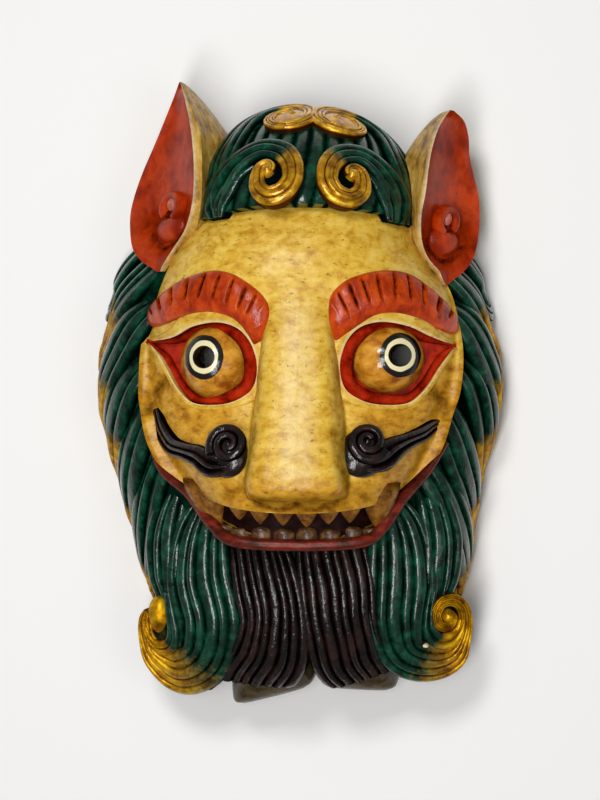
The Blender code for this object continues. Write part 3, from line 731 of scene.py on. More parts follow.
@dataclass(frozen=True)
class EyePaint(Paint):
    """Ochre eyeball with a cream ring inside a black one, painted about the drilled pupil."""

    middle: tuple[float, float] = (0.0, 0.0)
    cream_reach: float = 9.6
    black_reach: float = 13.0
    cream: str = "E9DFB0"
    black: str = "15100E"
    # Millimetres in a metre across, and fewer along, which draws the rings out lengthwise.
    scale: tuple[float, float, float] = (1000, 900, 0)
    wobble: float = 1.6

    def colour(self, tree: Tree, where: Socket) -> Socket:
        """Rings by the distance from the pupil's axis, over the ochre.

        Args:
            tree: The material's node tree.
            where: Socket of the place.

        Returns:
            The colour's socket.
        """
        colour = super().colour(tree, where)
        centre = TO_FRAME @ Vector((*self.middle, 0))
        away = add_node(tree, "Mapping", {"Vector": where, "Location": (-centre.x, -centre.y, 0)})
        flat = add_node(tree, "VectorMath", {0: away.outputs["Vector"], 1: self.scale},
                        operation="MULTIPLY")
        wobble = add_node(tree, "TexNoise", {"Vector": where, "Scale": per_metre(9), "Detail": 3})
        reach = add_node(tree, "VectorMath", {0: flat.outputs["Vector"]}, operation="LENGTH")
        reach = add_node(tree, "Math", {0: wobble.outputs["Fac"], 1: self.wobble,
                                       2: reach.outputs["Value"]}, operation="MULTIPLY_ADD")
        for edge, tone in ((self.black_reach, self.black), (self.cream_reach, self.cream)):
            inside = add_node(tree, "MapRange", {"Value": reach.outputs[0], "From Min": edge + 0.8,
                                                 "From Max": edge + 1.1, "To Min": 1.0,
                                                 "To Max": 0.0})
            mix = add_node(tree, "Mix", {"Factor": inside.outputs["Result"], MIX_UNDER: colour,
                                         MIX_OVER: linear(tone)}, data_type="RGBA")
            colour = mix.outputs[MIXED]
        return colour


# Cream oil paint under wiped ochre glaze: satin, mottled, with brown painted shade in its creases,
# and worn paint with a painted highlight along the nose.
FACE_PAINT = FacePaint("cream_face_paint", ("E4C25C", "D8AE3C", "BC8A1E"), stroke=(9, 6, 9),
                       dirt="5A3410", dirt_amount=0.95, speck=0.59, fleck=(6, 3.2, 5),
                       roughness=0.5, coat=0.4, coat_roughness=0.26, worn="EEDCA8")
# Deep green oil paint under thick varnish: wet glints along dark strands, with painted shade in the
# grooves.
GREEN_HAIR = HairPaint("green_hair_paint", ("104C36", "072E1F", "02130D"), stroke=(9, 9, 9),
                       dirt="1E1406", roughness=0.35, coat=1.0, coat_roughness=0.13, bump=0.7,
                       groove="010A07", gold=("F0BE24", "C48C10", "7E4E08"))
# Brown-black oil paint under thick varnish: nearly black, with sharp glints and painted shade in
# the grooves.
BLACK_HAIR = HairPaint("black_hair_paint", ("2A1814", "140B09", "070303"), stroke=(8, 14, 9),
                       groove="010000", dirt="1E140C", roughness=0.35, coat=1.0,
                       coat_roughness=0.1, bump=1.0)
# Vermilion oil paint, thinly varnished: flat and warm, with a faint sheen; pale pink for worn paint
# and painted highlight, near black for painted shade.
EAR_RED = Paint("ear_red_paint", ("BE4012", "A43008", "7E1C02"), stroke=(14, 18, 14),
                dirt="240604", dirt_amount=1.0, roughness=0.5, coat=0.35, coat_roughness=0.22,
                worn="E8B8A8")
# Ochre oil paint, thinly varnished: streaked and grimy.
EAR_YELLOW = Paint("ear_back_paint", ("D4B05C", "B48A38", "6E4C1C"), stroke=(6, 16, 9),
                   dirt="3E2608", dirt_amount=0.85, speck=0.6, roughness=0.5, coat=0.35,
                   coat_roughness=0.25)
# Orange oil paint under varnish: bright, with black soot and painted shade in its cuts.
BROW_ORANGE = Paint("brow_orange_paint", ("D4500C", "B63806", "8A2202"), stroke=(9, 12, 9),
                    dirt="0A0402", dirt_amount=1.2, speck=0.6, coat=0.7, coat_roughness=0.1,
                    bump=0.5, fleck=(3.2, 3.2, 3.2))
# Red oil paint under varnish: glossy, with painted shade in its folds.
EYE_RED = Paint("eye_red_paint", ("C83414", "AC240C", "6C0E02"), stroke=(12, 12, 12),
                dirt="2A0402", dirt_amount=0.9, coat=0.8)
# Maroon oil paint, worn: dull, with dark specks.
LIP_RED = Paint("lip_red_paint", ("7E2614", "5C1A0C", "321004"), stroke=(14, 6, 9),
                dirt="140604", dirt_amount=0.9, speck=0.58, coat=0.35, coat_roughness=0.3)
# Soot-dark oil paint without varnish: it shows no gloss.
MOUTH_DARK = Paint("mouth_dark_paint", ("2E0A06", "1C0504", "0C0202"), dirt="060202",
                   coat=0.0, roughness=0.7)
# Ochre oil paint, thinly varnished: brown, with painted shade at the root.
TOOTH_OCHRE = Paint("tooth_ochre_paint", ("9E6C26", "7C4E18", "4A2A0A"), stroke=(7, 7, 7),
                    dirt="1E0E04", dirt_amount=1.0, speck=0.58, coat=0.4, coat_roughness=0.2)
# The same paint, darker and low in contrast.
DARK_TOOTH = Paint("dark_tooth_paint", ("74542E", "52361C", "2C1A0C"), stroke=(5, 5, 5),
                      dirt="140A04", dirt_amount=1.0, speck=0.56, coat=0.4, coat_roughness=0.2)
# Gouged softwood without paint: matt, with grain along the mask.
BARE_WOOD = Paint("bare_wood", ("8A6434", "6E4A22", "4E3016"), stroke=(3, 60, 3), dirt="22140A",
                  coat=0.0, gloss=0.5, roughness=0.62, bump=0.6, bump_size=6)
# Softwood rubbed bare of paint: greenish brown and dull.
BEARD_FOOT = Paint("bare_beard_foot", ("5A4A2C", "42341E", "241A0E"), stroke=(12, 6, 5),
                   dirt="0C0804", coat=0.4, roughness=0.5)


# Making pieces.


def skin(rings: Sequence[Ring], marks: Sequence[Sequence[Marks]] = ()) -> Form:
    """Closed skin over a row of rings: a grid rolled into a tube, with both ends filled.

    Args:
        rings: Rings with the same number of points.
        marks: Marks of each point of each ring, which become attributes; one left out is 0.

    Returns:
        The skin, with its faces pointing out.
    """
    count = len(rings[0])
    bm = bmesh.new()
    names = dict.fromkeys(name for row in marks for point in row for name in point)
    layers = {name: bm.verts.layers.float.new(name) for name in names}
    bmesh.ops.create_grid(bm, x_segments=len(rings) - 1, y_segments=count, size=1)
    bm.verts.ensure_lookup_table()
    for column in range(count + 1):
        for row, ring in enumerate(rings):
            vert = bm.verts[column * len(rings) + row]
            vert.co = ring[column % count]
            for name, layer in layers.items():
                vert[layer] = marks[row][column % count].get(name, 0.0)
    seam = [vert for vert in bm.verts if vert.is_boundary]
    bmesh.ops.remove_doubles(bm, verts=seam, dist=1e-5)
    ends = [edge for edge in bm.edges if edge.is_boundary]
    caps = bmesh.ops.holes_fill(bm, edges=ends, sides=0)["faces"]
    bmesh.ops.poke(bm, faces=caps)
    bmesh.ops.recalc_face_normals(bm, faces=bm.faces)
    return bm


def marked(rings: Sequence[Ring], **marks: float) -> Form:
    """Closed skin over a row of rings, with the same marks all over it."""
    return skin(rings, [[marks] * len(ring) for ring in rings])


@dataclass
class Loft:
    """Rings on their way to a skin, point by point, each with its marks, such as gold, dirt and
    painted shade.
    """

    rings: list[Ring] = field(default_factory=list)
    marks: list[list[Marks]] = field(default_factory=list)

    def start(self) -> None:
        """Begins the next ring."""
        self.rings.append([])
        self.marks.append([])

    def add(self, point: Vector, **marks: float) -> None:
        """Adds a point to the ring."""
        self.rings[-1].append(point)
        self.marks[-1].append(marks)

    def skin(self) -> Form:
        """Closed skin over the rings."""
        return skin(self.rings, self.marks)


def gathered(forms: Sequence[Form]) -> Form:
    """Puts several forms into one.

    Args:
        forms: The forms, which are freed.

    Returns:
        The whole.
    """
    whole = bmesh.new()
    for form in forms:
        passing = bpy.data.meshes.new("passing")
        form.to_mesh(passing)
        form.free()
        whole.from_mesh(passing)
        bpy.data.meshes.remove(passing)
    return whole


def shape(name: str, bm: Form, finish: Paint) -> Piece:
    """Turns a form in carving millimetres into an object in the frame.

    Args:
        name: The object's name.
        bm: The form, which is freed.
        finish: Its finish.

    Returns:
        The object, at the origin with its place in its mesh.
    """
    bmesh.ops.transform(bm, matrix=TO_FRAME, verts=bm.verts)
    mesh = bpy.data.meshes.new(name)
    bm.to_mesh(mesh)
    bm.free()
    mesh.materials.append(finish.material())
    piece = bpy.data.objects.new(name, mesh)
    bpy.context.scene.collection.objects.link(piece)
    return piece


def carve(piece: Piece, tool: Piece) -> None:
    """Cuts a tool's shape out of a piece; the cut takes the tool's finish.

    Args:
        piece: The piece.
        tool: The tool, which stays.
    """
    cut = piece.modifiers.new("Cut", "BOOLEAN")
    cut.operation = "DIFFERENCE"
    cut.solver = "MANIFOLD"
    cut.material_mode = "TRANSFER"
    cut.object = tool
    graph = bpy.context.evaluated_depsgraph_get()
    mesh = bpy.data.meshes.new_from_object(piece.evaluated_get(graph))
    piece.modifiers.clear()
    before = piece.data
    piece.data = mesh
    mesh.name = before.name
    bpy.data.meshes.remove(before)


def hand_over(piece: Piece, sharp: float = 60.0) -> None:
    """Smooths a finished piece's shading and hangs it on the frame.

    Args:
        piece: The piece.
        sharp: Edges with a larger turn than this, in degrees, stay sharp.
    """
    piece.data.shade_smooth()
    piece.data.set_sharp_from_angle(angle=math.radians(sharp))
    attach(piece, "root")
    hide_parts("mask")
    logging.info("%s: %d triangles", piece.name,
                 sum(len(face.vertices) - 2 for face in piece.data.polygons))


def drop(tools: Sequence[Piece]) -> None:
    """Takes the cutting tools out of the scene."""
    for tool in tools:
        bpy.data.objects.remove(tool)


def arch(half_width: float, height: float, middle: float, y: float, count: int,
         power: float = 1.0, floor: float = FLOOR_GAP) -> Ring:
    """Half round cross-section of a body that stands on the rim.

    Args:
        half_width: Half its width.
        height: Its height over the rim.
        middle: Its middle's x.
        y: Its place along the mask.
        count: How many steps the half round has.
        power: Roundness of the shoulders, squarer below 1.
        floor: Height of its underside.

    Returns:
        The cross-section's points.
    """
    return [Vector((middle + half_width * math.cos(math.pi * step / count), y,
                    floor + (height - floor) * math.sin(math.pi * step / count) ** power))
            for step in range(count + 1)]


@dataclass
class Lock:
    """Ridged lock of hair along a route on a surface.

    The route gives, at a few places, two coordinates on the surface, half the width and the lift.
    """

    surface: Surface
    route: Route
    ridges: int
    crown: float = 4.0
    relief: float = 3.4
    sink: float = 9.0
    slant: float = 0.0
    step: float = 1.7
    gold: tuple[float, float] = (2.0, 3.0)
    grime: float = 0.0
    seed: float = 0.0
    per_ridge: int = 8
    underside: float = 0.9
    wave: float = 9.0
    lane: float = 1.3
    sway: float = 0.07
    drift: float = 0.26
    roundness: float = 0.42
    uneven: float = 0.22

    def skin(self) -> Form:
        """Skin of the lock, with its grooves and its gilded share marked.

        Returns:
            The form.
        """
        rough = smooth_path(self.route, 40)
        length = sum(math.dist(near[:2], far[:2]) for near, far in zip(rough, rough[1:]))
        count = max(int(length / self.step), 12)
        path = smooth_path(self.route, count)
        widest = max(point[2] for point in self.route)
        samples = self.ridges * self.per_ridge
        acrosses = [*(2 * sample / samples - 1 for sample in range(samples + 1)), 1, -1]
        loft = Loft()
        for index, (a, b, half_width, lift) in enumerate(path):
            loft.start()
            share = index / (count - 1)
            along = heading(path, index)
            size = min(half_width / widest, 1) ** 0.5
            shift = self.slant * share ** 3
            gilt = ramp(*self.gold, share)
            run = share * length / self.wave + 7 * self.seed
            for number, across in enumerate(acrosses):
                reach, height, deep = across * half_width * self.underside, lift - self.sink, 1.0
                if number <= samples:
                    reach = across * half_width
                    height, deep = self.section(across, share * length)
                    height = lift + height * size
                # The grooves are marked for painted shade, and the gilded tip for dirt.
                loft.add(lifted(self.surface, a - along.y * reach + along.x * shift * across,
                                b + along.x * reach + along.y * shift * across, height),
                         groove=deep, gold=gilt, dirt=self.grime * gilt, run=run,
                         lane=self.lane * number / self.per_ridge)
        return loft.skin()

    def section(self, across: float, run: float) -> tuple[float, float]:
        """Height and groove depth across the lock.

        Args:
            across: Place from one edge at -1 to the other at 1.
            run: Way along the lock.

        Returns:
            The height over the surface, and how deep in a groove the place is, from 0 to 1.
        """
        sway = (self.sway * math.sin(run / 21 + self.seed * 2.1)
                + 0.015 * math.sin(run / 6 + self.seed))
        drift = self.drift * math.sin(7.5 * across + 1.7 * self.seed) / self.ridges
        bent = across + (sway + drift) * (1 - across * across)
        phase = (bent + 1) / 2 * self.ridges
        ridge = abs(math.sin(math.pi * phase)) ** self.roundness
        uneven = 1 + self.uneven * math.sin(math.floor(phase) * 2.4 + run / 17 + self.seed)
        crown = self.crown * math.sqrt(max(1 - across ** 2, 0))
        return crown + self.relief * ridge * uneven, 1 - ridge


def boss(surface: Surface, a: float, b: float, radii: tuple[float, float], height: float,
         **marks: float) -> Form:
    """Rounded boss on a surface, with half its body sunk below it.

    Args:
        surface: The surface.
        a: First coordinate of its middle.
        b: Second coordinate of its middle.
        radii: Its two half widths on the surface.
        height: Its height.
        marks: Value of each attribute all over it, such as gold, painted shade in grooves, dirt and
            painted shade.

    Returns:
        The form.
    """
    bm = bmesh.new()
    layers = {bm.verts.layers.float.new(name): value for name, value in marks.items()}
    bmesh.ops.create_uvsphere(bm, u_segments=40, v_segments=24, radius=1)
    for vert in bm.verts:
        x, y, z = vert.co
        vert.co = lifted(surface, a + radii[0] * x, b + radii[1] * y, height * z)
        for layer, value in layers.items():
            vert[layer] = value
    bmesh.ops.recalc_face_normals(bm, faces=bm.faces)
    return bm


# The head.


@dataclass
class Head:
    """The block itself: core under the mane, face, and the hollow behind."""

    hollow_bottom: float = -96.0
    hollow_top: float = 166.0
    side_wall: float = 18.0
    hollow_height: float = 86.0
    hide: float = 1.5
    tools: list[Piece] = field(default_factory=list)

    def hollow(self, name: str, grow: float) -> Piece:
        """Tool that cuts the hollow.

        Args:
            name: The tool's name.
            grow: How much wider than the real hollow it is, for pieces hidden in the wall.

        Returns:
            The tool.
        """
        shares = ((self.hollow_bottom, 0.50, 0.45), (-84, 0.72, 0.80), (-60, 0.88, 0.95),
                  (-20, 1, 1), (20, 1, 1), (60, 1, 1), (100, 1, 1), (130, 0.97, 0.98),
                  (152, 0.85, 0.85), (self.hollow_top, 0.55, 0.45))
        widths = [(y, width) for y, width, _ in shares]
        heights = [(y, height) for y, _, height in shares]
        rings = []
        rows, steps = 90, 64
        for row in range(rows + 1):
            y = self.hollow_bottom + (self.hollow_top - self.hollow_bottom) * row / rows
            half_width = ((smooth_value(CORE_HALF_WIDTH, y) - self.side_wall)
                          * smooth_value(widths, y) + grow)
            height = self.hollow_height * smooth_value(heights, y) + grow
            ring = []
            middle = smooth_value(CORE_MIDDLE, y)
            for step in range(steps + 1):
                angle = math.pi * step / steps
                gouge = 0.9 * hand(Vector((angle * 9, y / 14, 0)), 1.0, 5) * math.sin(angle)
                ring.append(Vector((middle + (half_width + gouge) * math.cos(angle), y,
                                    (height + gouge) * math.sin(angle) ** 0.8)))
            ring += [Vector((middle + edge * half_width, y, -20)) for edge in (-1, 1)]
            rings.append(ring)
        return shape(name, skin(rings), BARE_WOOD)

    def drill(self, side: Side) -> Piece:
        """Tool that drills a pupil through the wall.

        Args:
            side: Which pupil.

        Returns:
            The tool.
        """
        bm = bmesh.new()
        bmesh.ops.create_cone(bm, cap_ends=True, segments=64, depth=150,
                              radius1=SIGHT_HOLE_RADIUS, radius2=SIGHT_HOLE_RADIUS)
        bmesh.ops.transform(bm, matrix=Matrix.Translation((*Eye(side).pupil_place, 100)),
                            verts=bm.verts)
        return shape("drill", bm, BARE_WOOD)

    def core(self) -> Piece:
        """Solid under the mane, down to the flat rim.

        Returns:
            The piece, not yet hollow.
        """
        rows = 110
        first, last = CORE_HALF_WIDTH[0][0], CORE_HALF_WIDTH[-1][0]
        rings = []
        for row in range(rows + 1):
            y = first + (last - first) * row / rows
            rings.append(arch(smooth_value(CORE_HALF_WIDTH, y), smooth_value(CORE_HEIGHT, y),
                              smooth_value(CORE_MIDDLE, y), y, 60, 1.0, 0.0))
        # The core shows only in the gaps between the locks, so it is darkened all over with painted
        # shade.
        return shape("mane_core", marked(rings, groove=0.45), GREEN_HAIR)

    def face(self) -> Piece:
        """Forehead, cheeks, nose and muzzle in one skin.

        Returns:
            The piece, not yet hollow.
        """
        rows, columns = 230, 300
        first, last = FACE_HALF_WIDTH[0][0], FACE_HALF_WIDTH[-1][0]
        loft = Loft()
        for row in range(rows + 1):
            loft.start()
            y = first + (last - first) * row / rows
            for column in range(columns + 1):
                turn = math.cos(math.pi * column / columns)
                x = turn * face_reach(y, turn < 0)
                height, marks = carved_face(x, y)
                loft.add(Vector((FACE_MIDDLE + x, y, height)), **marks)
            for edge in (-0.9, 0.9):
                loft.add(Vector((FACE_MIDDLE + edge * face_reach(y, edge < 0), y, INSIDE)))
        return shape("face", loft.skin(), FACE_PAINT)

    def build(self) -> None:
        """Makes the tools and cuts the core and the face with them."""
        inside = self.hollow("hollow", 0.0)
        hidden = self.hollow("hollow_hidden", self.hide)
        drills = [self.drill(side) for side in Side]
        core, face = self.core(), self.face()
        for tool in (inside, *drills):
            carve(core, tool)
        eyes = [Eye(side).recess() for side in Side]
        mouth = Mouth().cutter()
        for tool in (hidden, *drills, *eyes, mouth):
            carve(face, tool)
        drop([*eyes, mouth])
        self.tools = [inside, hidden, *drills]
        hand_over(core)
        hand_over(face, 70)


# Eyes and brows.


@dataclass
class Eye:
    """Bulging eyeball in a red almond, with a drilled and ringed pupil and a lid round it."""

    side: Side
    middle: tuple[float, float] = (57.0, 25.0)
    ball_height: float = 96.0
    depth: float = 9.0
    tilt: float = 0.50
    bow: float = 0.0015
    rim_drop: float = 4.0

    @property
    def ball(self) -> tuple[float, float, float]:
        """Half widths of the eyeball, rounder on the left and broader on the right."""
        return self.side.pick((23.8, 25.0, 21.5), (25.8, 22.5, 21.5))

    @property
    def ball_middle(self) -> tuple[float, float]:
        """Eyeball's middle, outwards from the middle of the face and along it."""
        return self.side.pick((55.7, 25.0), (55.2, 27.0))

    @property
    def pupil_place(self) -> tuple[float, float]:
        """Place of the pupil on the mask."""
        across, along = self.side.pick((62.0, 28.0), (66.0, 29.0))
        return FACE_MIDDLE + self.side.value * across, along

    @property
    def outline(self) -> list[tuple[float, float]]:
        """Almond from its outer corner, over the top and back below."""
        corner = self.side.pick((107, 40), (102, 36.5))
        return [corner, (86, 42), (70, 49), (53, 51.5), (39, 47.5), (30, 37), (26.5, 22), (30, 7),
                (42, -1.5), (57, -4), (72, -2), (83, 8), (91, 21), (97, 30), corner]

    def floor(self, x: float) -> float:
        """Height of the almond's floor, which falls off outwards."""
        out = x - self.middle[0]
        return bare_face(*self.middle) - self.depth - self.tilt * out - self.bow * out * out

    def recess(self) -> Piece:
        """Tool that cuts the almond into the face, flush at its outer corner.

        Returns:
            The tool.
        """
        path = smooth_path(self.outline, 91)[:-1]
        rings = [[Vector((FACE_MIDDLE + self.side.value * x, y, self.floor(x) + lift))
                  for x, y in path] for lift in (0, 90)]
        return shape("recess", skin(rings), EYE_RED)

    def eyeball(self, drill: Piece) -> None:
        """Makes the eyeball with its pupil drilled out.

        Args:
            drill: The tool that drills the pupil.
        """
        paint = EyePaint("eyeball_ochre_" + self.side.label, ("DCA038", "BC7C1E", "8A460A"),
                         stroke=(12, 9, 9), dirt="5E1E06", dirt_amount=0.8, speck=0.62, coat=1.0,
                         coat_roughness=0.06, bump=0.25, middle=self.pupil_place)
        bm = bmesh.new()
        mark = bm.verts.layers.float.new("dirt")
        bmesh.ops.create_uvsphere(bm, u_segments=96, v_segments=64, radius=1)
        # The ball is darker and browner towards its rim.
        for vert in bm.verts:
            vert[mark] = 0.75 * ramp(0.7, 0.2, vert.co.z)
        out, along = self.ball_middle
        place = Matrix.Translation((FACE_MIDDLE + self.side.value * out, along, self.ball_height))
        bmesh.ops.transform(bm, matrix=place @ Matrix.Diagonal((*self.ball, 1)), verts=bm.verts)
        piece = shape("eyeball_" + self.side.label, bm, paint)
        carve(piece, drill)
        hand_over(piece)

    def roll(self) -> None:
        """Makes the red roll that lines the almond, thicker over the eye and beside the nose."""
        path = smooth_path(self.outline, 140)
        steps = 16
        loft = Loft()
        for index, (x, y) in enumerate(path):
            loft.start()
            share = index / (len(path) - 1)
            along = heading(path, index)
            inward = Vector((-along.y, along.x))
            girth = (3.0 + 1.3 * ramp(0.1, 0.3, share) * ramp(0.75, 0.55, share)) * (
                0.25 + 0.75 * ramp(0, 0.12, share) * ramp(1, 0.88, share))
            centre = Vector((x, y)) + inward * (girth + 0.4)
            for step in range(steps):
                angle = 2 * math.pi * step / steps
                reach = centre + inward * girth * math.cos(angle)
                # The roll is darkened with painted shade, most on its side towards the eyeball.
                loft.add(Vector((FACE_MIDDLE + self.side.value * reach.x, reach.y,
                                 self.floor(x) + 2.2 + 1.25 * girth * math.sin(angle))),
                         dirt=0.35 + 0.6 * max(math.cos(angle), 0))
        hand_over(shape("eye_roll_" + self.side.label, loft.skin(), EYE_RED))

    def lid(self) -> None:
        """Makes the raised rim round the almond, wide over the eye and thin below it."""
        surface = on_face(self.side)
        path = smooth_path(self.outline, 150)
        steps = 10
        loft = Loft()
        for index, (x, y) in enumerate(path):
            loft.start()
            share = index / (len(path) - 1)
            along = heading(path, index)
            upper = ramp(0.02, 0.12, share) * ramp(0.62, 0.42, share)
            width = 1.6 + 3.4 * upper
            height = 0.9 + 1.5 * upper
            for step in range(steps + 1):
                across = step / steps
                reach = -0.7 + across * 2 * width
                # Painted shade at the lid's outer foot; along the almond's edge a pale line of worn
                # paint and painted highlight.
                loft.add(lifted(surface, x + along.y * reach, y - along.x * reach,
                                height * math.sin(math.pi * (0.12 + 0.88 * across)) ** 0.7),
                         dirt=0.5 * ramp(0.9, 1.0, across), worn=0.8 * ramp(0.25, 0.08, across))
            for reach in (2 * width - 1.2, 0.3):
                loft.add(lifted(surface, x + along.y * reach, y - along.x * reach,
                                -self.rim_drop))
        hand_over(shape("eyelid_" + self.side.label, loft.skin(), FACE_PAINT))

    def build(self, drill: Piece) -> None:
        """Makes the eyeball and its two lids.

        Args:
            drill: The tool that drills the pupil.
        """
        self.eyeball(drill)
        self.roll()
        self.lid()


@dataclass
class Brow:
    """Crescent brow with slanting grooves for its hairs."""

    side: Side
    thickness: float = 5.5
    grooves: float = 14.5
    groove_depth: float = 1.7
    groove_width: float = 0.09
    sink: float = 6.0

    @property
    def edges(self) -> tuple[list[tuple[float, float]], list[tuple[float, float]]]:
        """Upper and lower edge, both from the nose to the temple.

        Returns:
            The two edges' points.
        """
        if self.side is Side.LEFT:
            return ([(28, 33), (20, 43), (17.5, 57), (22, 67), (31, 75), (43, 82), (57, 84.5),
                     (76, 80), (93, 71), (104, 61), (107, 53)],
                    [(29, 33), (32, 41), (38, 49), (46, 54), (60, 57), (76, 55), (88, 51), (96, 49),
                     (102, 49), (105, 51)])
        return ([(24, 35), (21, 46), (20, 57), (22, 68), (31, 77), (43, 82), (58, 84.5), (71, 82),
                 (87, 71), (98, 58), (102, 46)],
                [(25, 35), (31, 42), (40, 48.5), (52, 54.5), (65, 55.5), (79, 51.5), (91, 46),
                 (99, 43.5), (101.5, 44.5)])

    def build(self) -> None:
        """Makes the brow between its two edges."""
        surface = on_face(self.side)
        count, steps = 280, 30
        top, low = (smooth_path(edge, count) for edge in self.edges)
        acrosses = [*(step / steps for step in range(steps + 1)), 0.93, 0.07]
        loft = Loft()
        for index in range(count):
            loft.start()
            share = index / (count - 1)
            thick = self.thickness * min(math.dist(top[index], low[index]) / 18, 1) ** 0.8
            for number, across in enumerate(acrosses):
                x, y = (below * across + above * (1 - across)
                        for below, above in zip(low[index], top[index]))
                if number > steps:
                    loft.add(lifted(surface, x, y, -self.sink))
                    continue
                phase = (share + 0.13 * (across - 0.5)) * self.grooves
                cut = math.exp(-((phase - round(phase)) / self.groove_width) ** 2)
                zone = (ramp(0.22, 0.30, share) * ramp(0.93, 0.84, share)
                        * ramp(0.02, 0.16, across) * ramp(0.72, 0.5, across))
                swell = thick * math.sin(math.pi * across) ** 0.45
                # Black soot and painted shade darken the cuts, and a little the zone between them.
                loft.add(lifted(surface, x, y, swell - self.groove_depth * zone * cut),
                         dirt=zone * (0.16 + 0.85 * cut))
        hand_over(shape("brow_" + self.side.label, loft.skin(), BROW_ORANGE))


# Muzzle.


@dataclass
class Moustache:
    """Curl beside the nose with a tail that waves up to the cheek."""

    side: Side

    def build(self) -> None:
        """Makes the round body, the coil on it and the tail."""
        surface = on_face(self.side)
        if self.side is Side.LEFT:
            tail = ((44, -43, 5, 0), (54, -42, 8, 1), (64, -36.5, 6.8, 1.4), (74, -33.5, 5.6, 1.6),
                    (84, -30, 6, 1.4), (92, -21, 5.2, 1), (96, -12, 3.8, 0.8), (98.5, -6, 1.8, 0.2))
            eye, body, reach = (43.5, -30.5), (45, -35), (13.5, 15.5)
        else:
            tail = ((42, -42, 5, 0), (52, -38, 8.5, 1), (60, -32, 7.6, 1.4), (69, -27, 5.4, 1.4),
                    (78, -22.5, 5, 1.4), (86, -16.5, 3.6, 0.8), (93, -14, 2.2, 0.2))
            eye, body, reach = (44.5, -28.5), (42, -34.5), (15.5, 15.5)
        coil = []
        for step in range(35):
            angle = self.side.pick(1, -1) * (0.34 * step) - 0.5
            away = 11 - 8.6 * step / 34
            coil.append((eye[0] + away * math.cos(angle), eye[1] + away * math.sin(angle),
                         2.9 - 1.1 * step / 34, 4.2))
        forms = [boss(surface, *body, reach, 4.6),
                 Lock(surface, tail, 3, crown=3, relief=1.9, sink=6, step=1.0).skin(),
                 Lock(surface, coil, 1, crown=1.4, relief=2.2, sink=5, step=0.8).skin(),
                 boss(surface, *eye, (2.6, 2.8), 5.8)]
        hand_over(shape("moustache_" + self.side.label, gathered(forms), BLACK_HAIR))


UPPER_LIP = ((-106, -29), (-92, -43), (-72, -57), (-55, -66), (-27, -71), (0, -73), (27, -71),
             (53, -66), (68, -56), (86, -40), (97, -30))
LOWER_LIP = ((-107, -28), (-98, -49), (-79, -65), (-62, -84), (-44, -96), (0, -98.5), (42, -96),
             (57, -86), (69, -68), (85, -49), (97, -29))
LIP_TOP = ((0, 117), (42, 113), (62, 102.5), (79, 85), (92, 79), (98, 76), (107, 70))


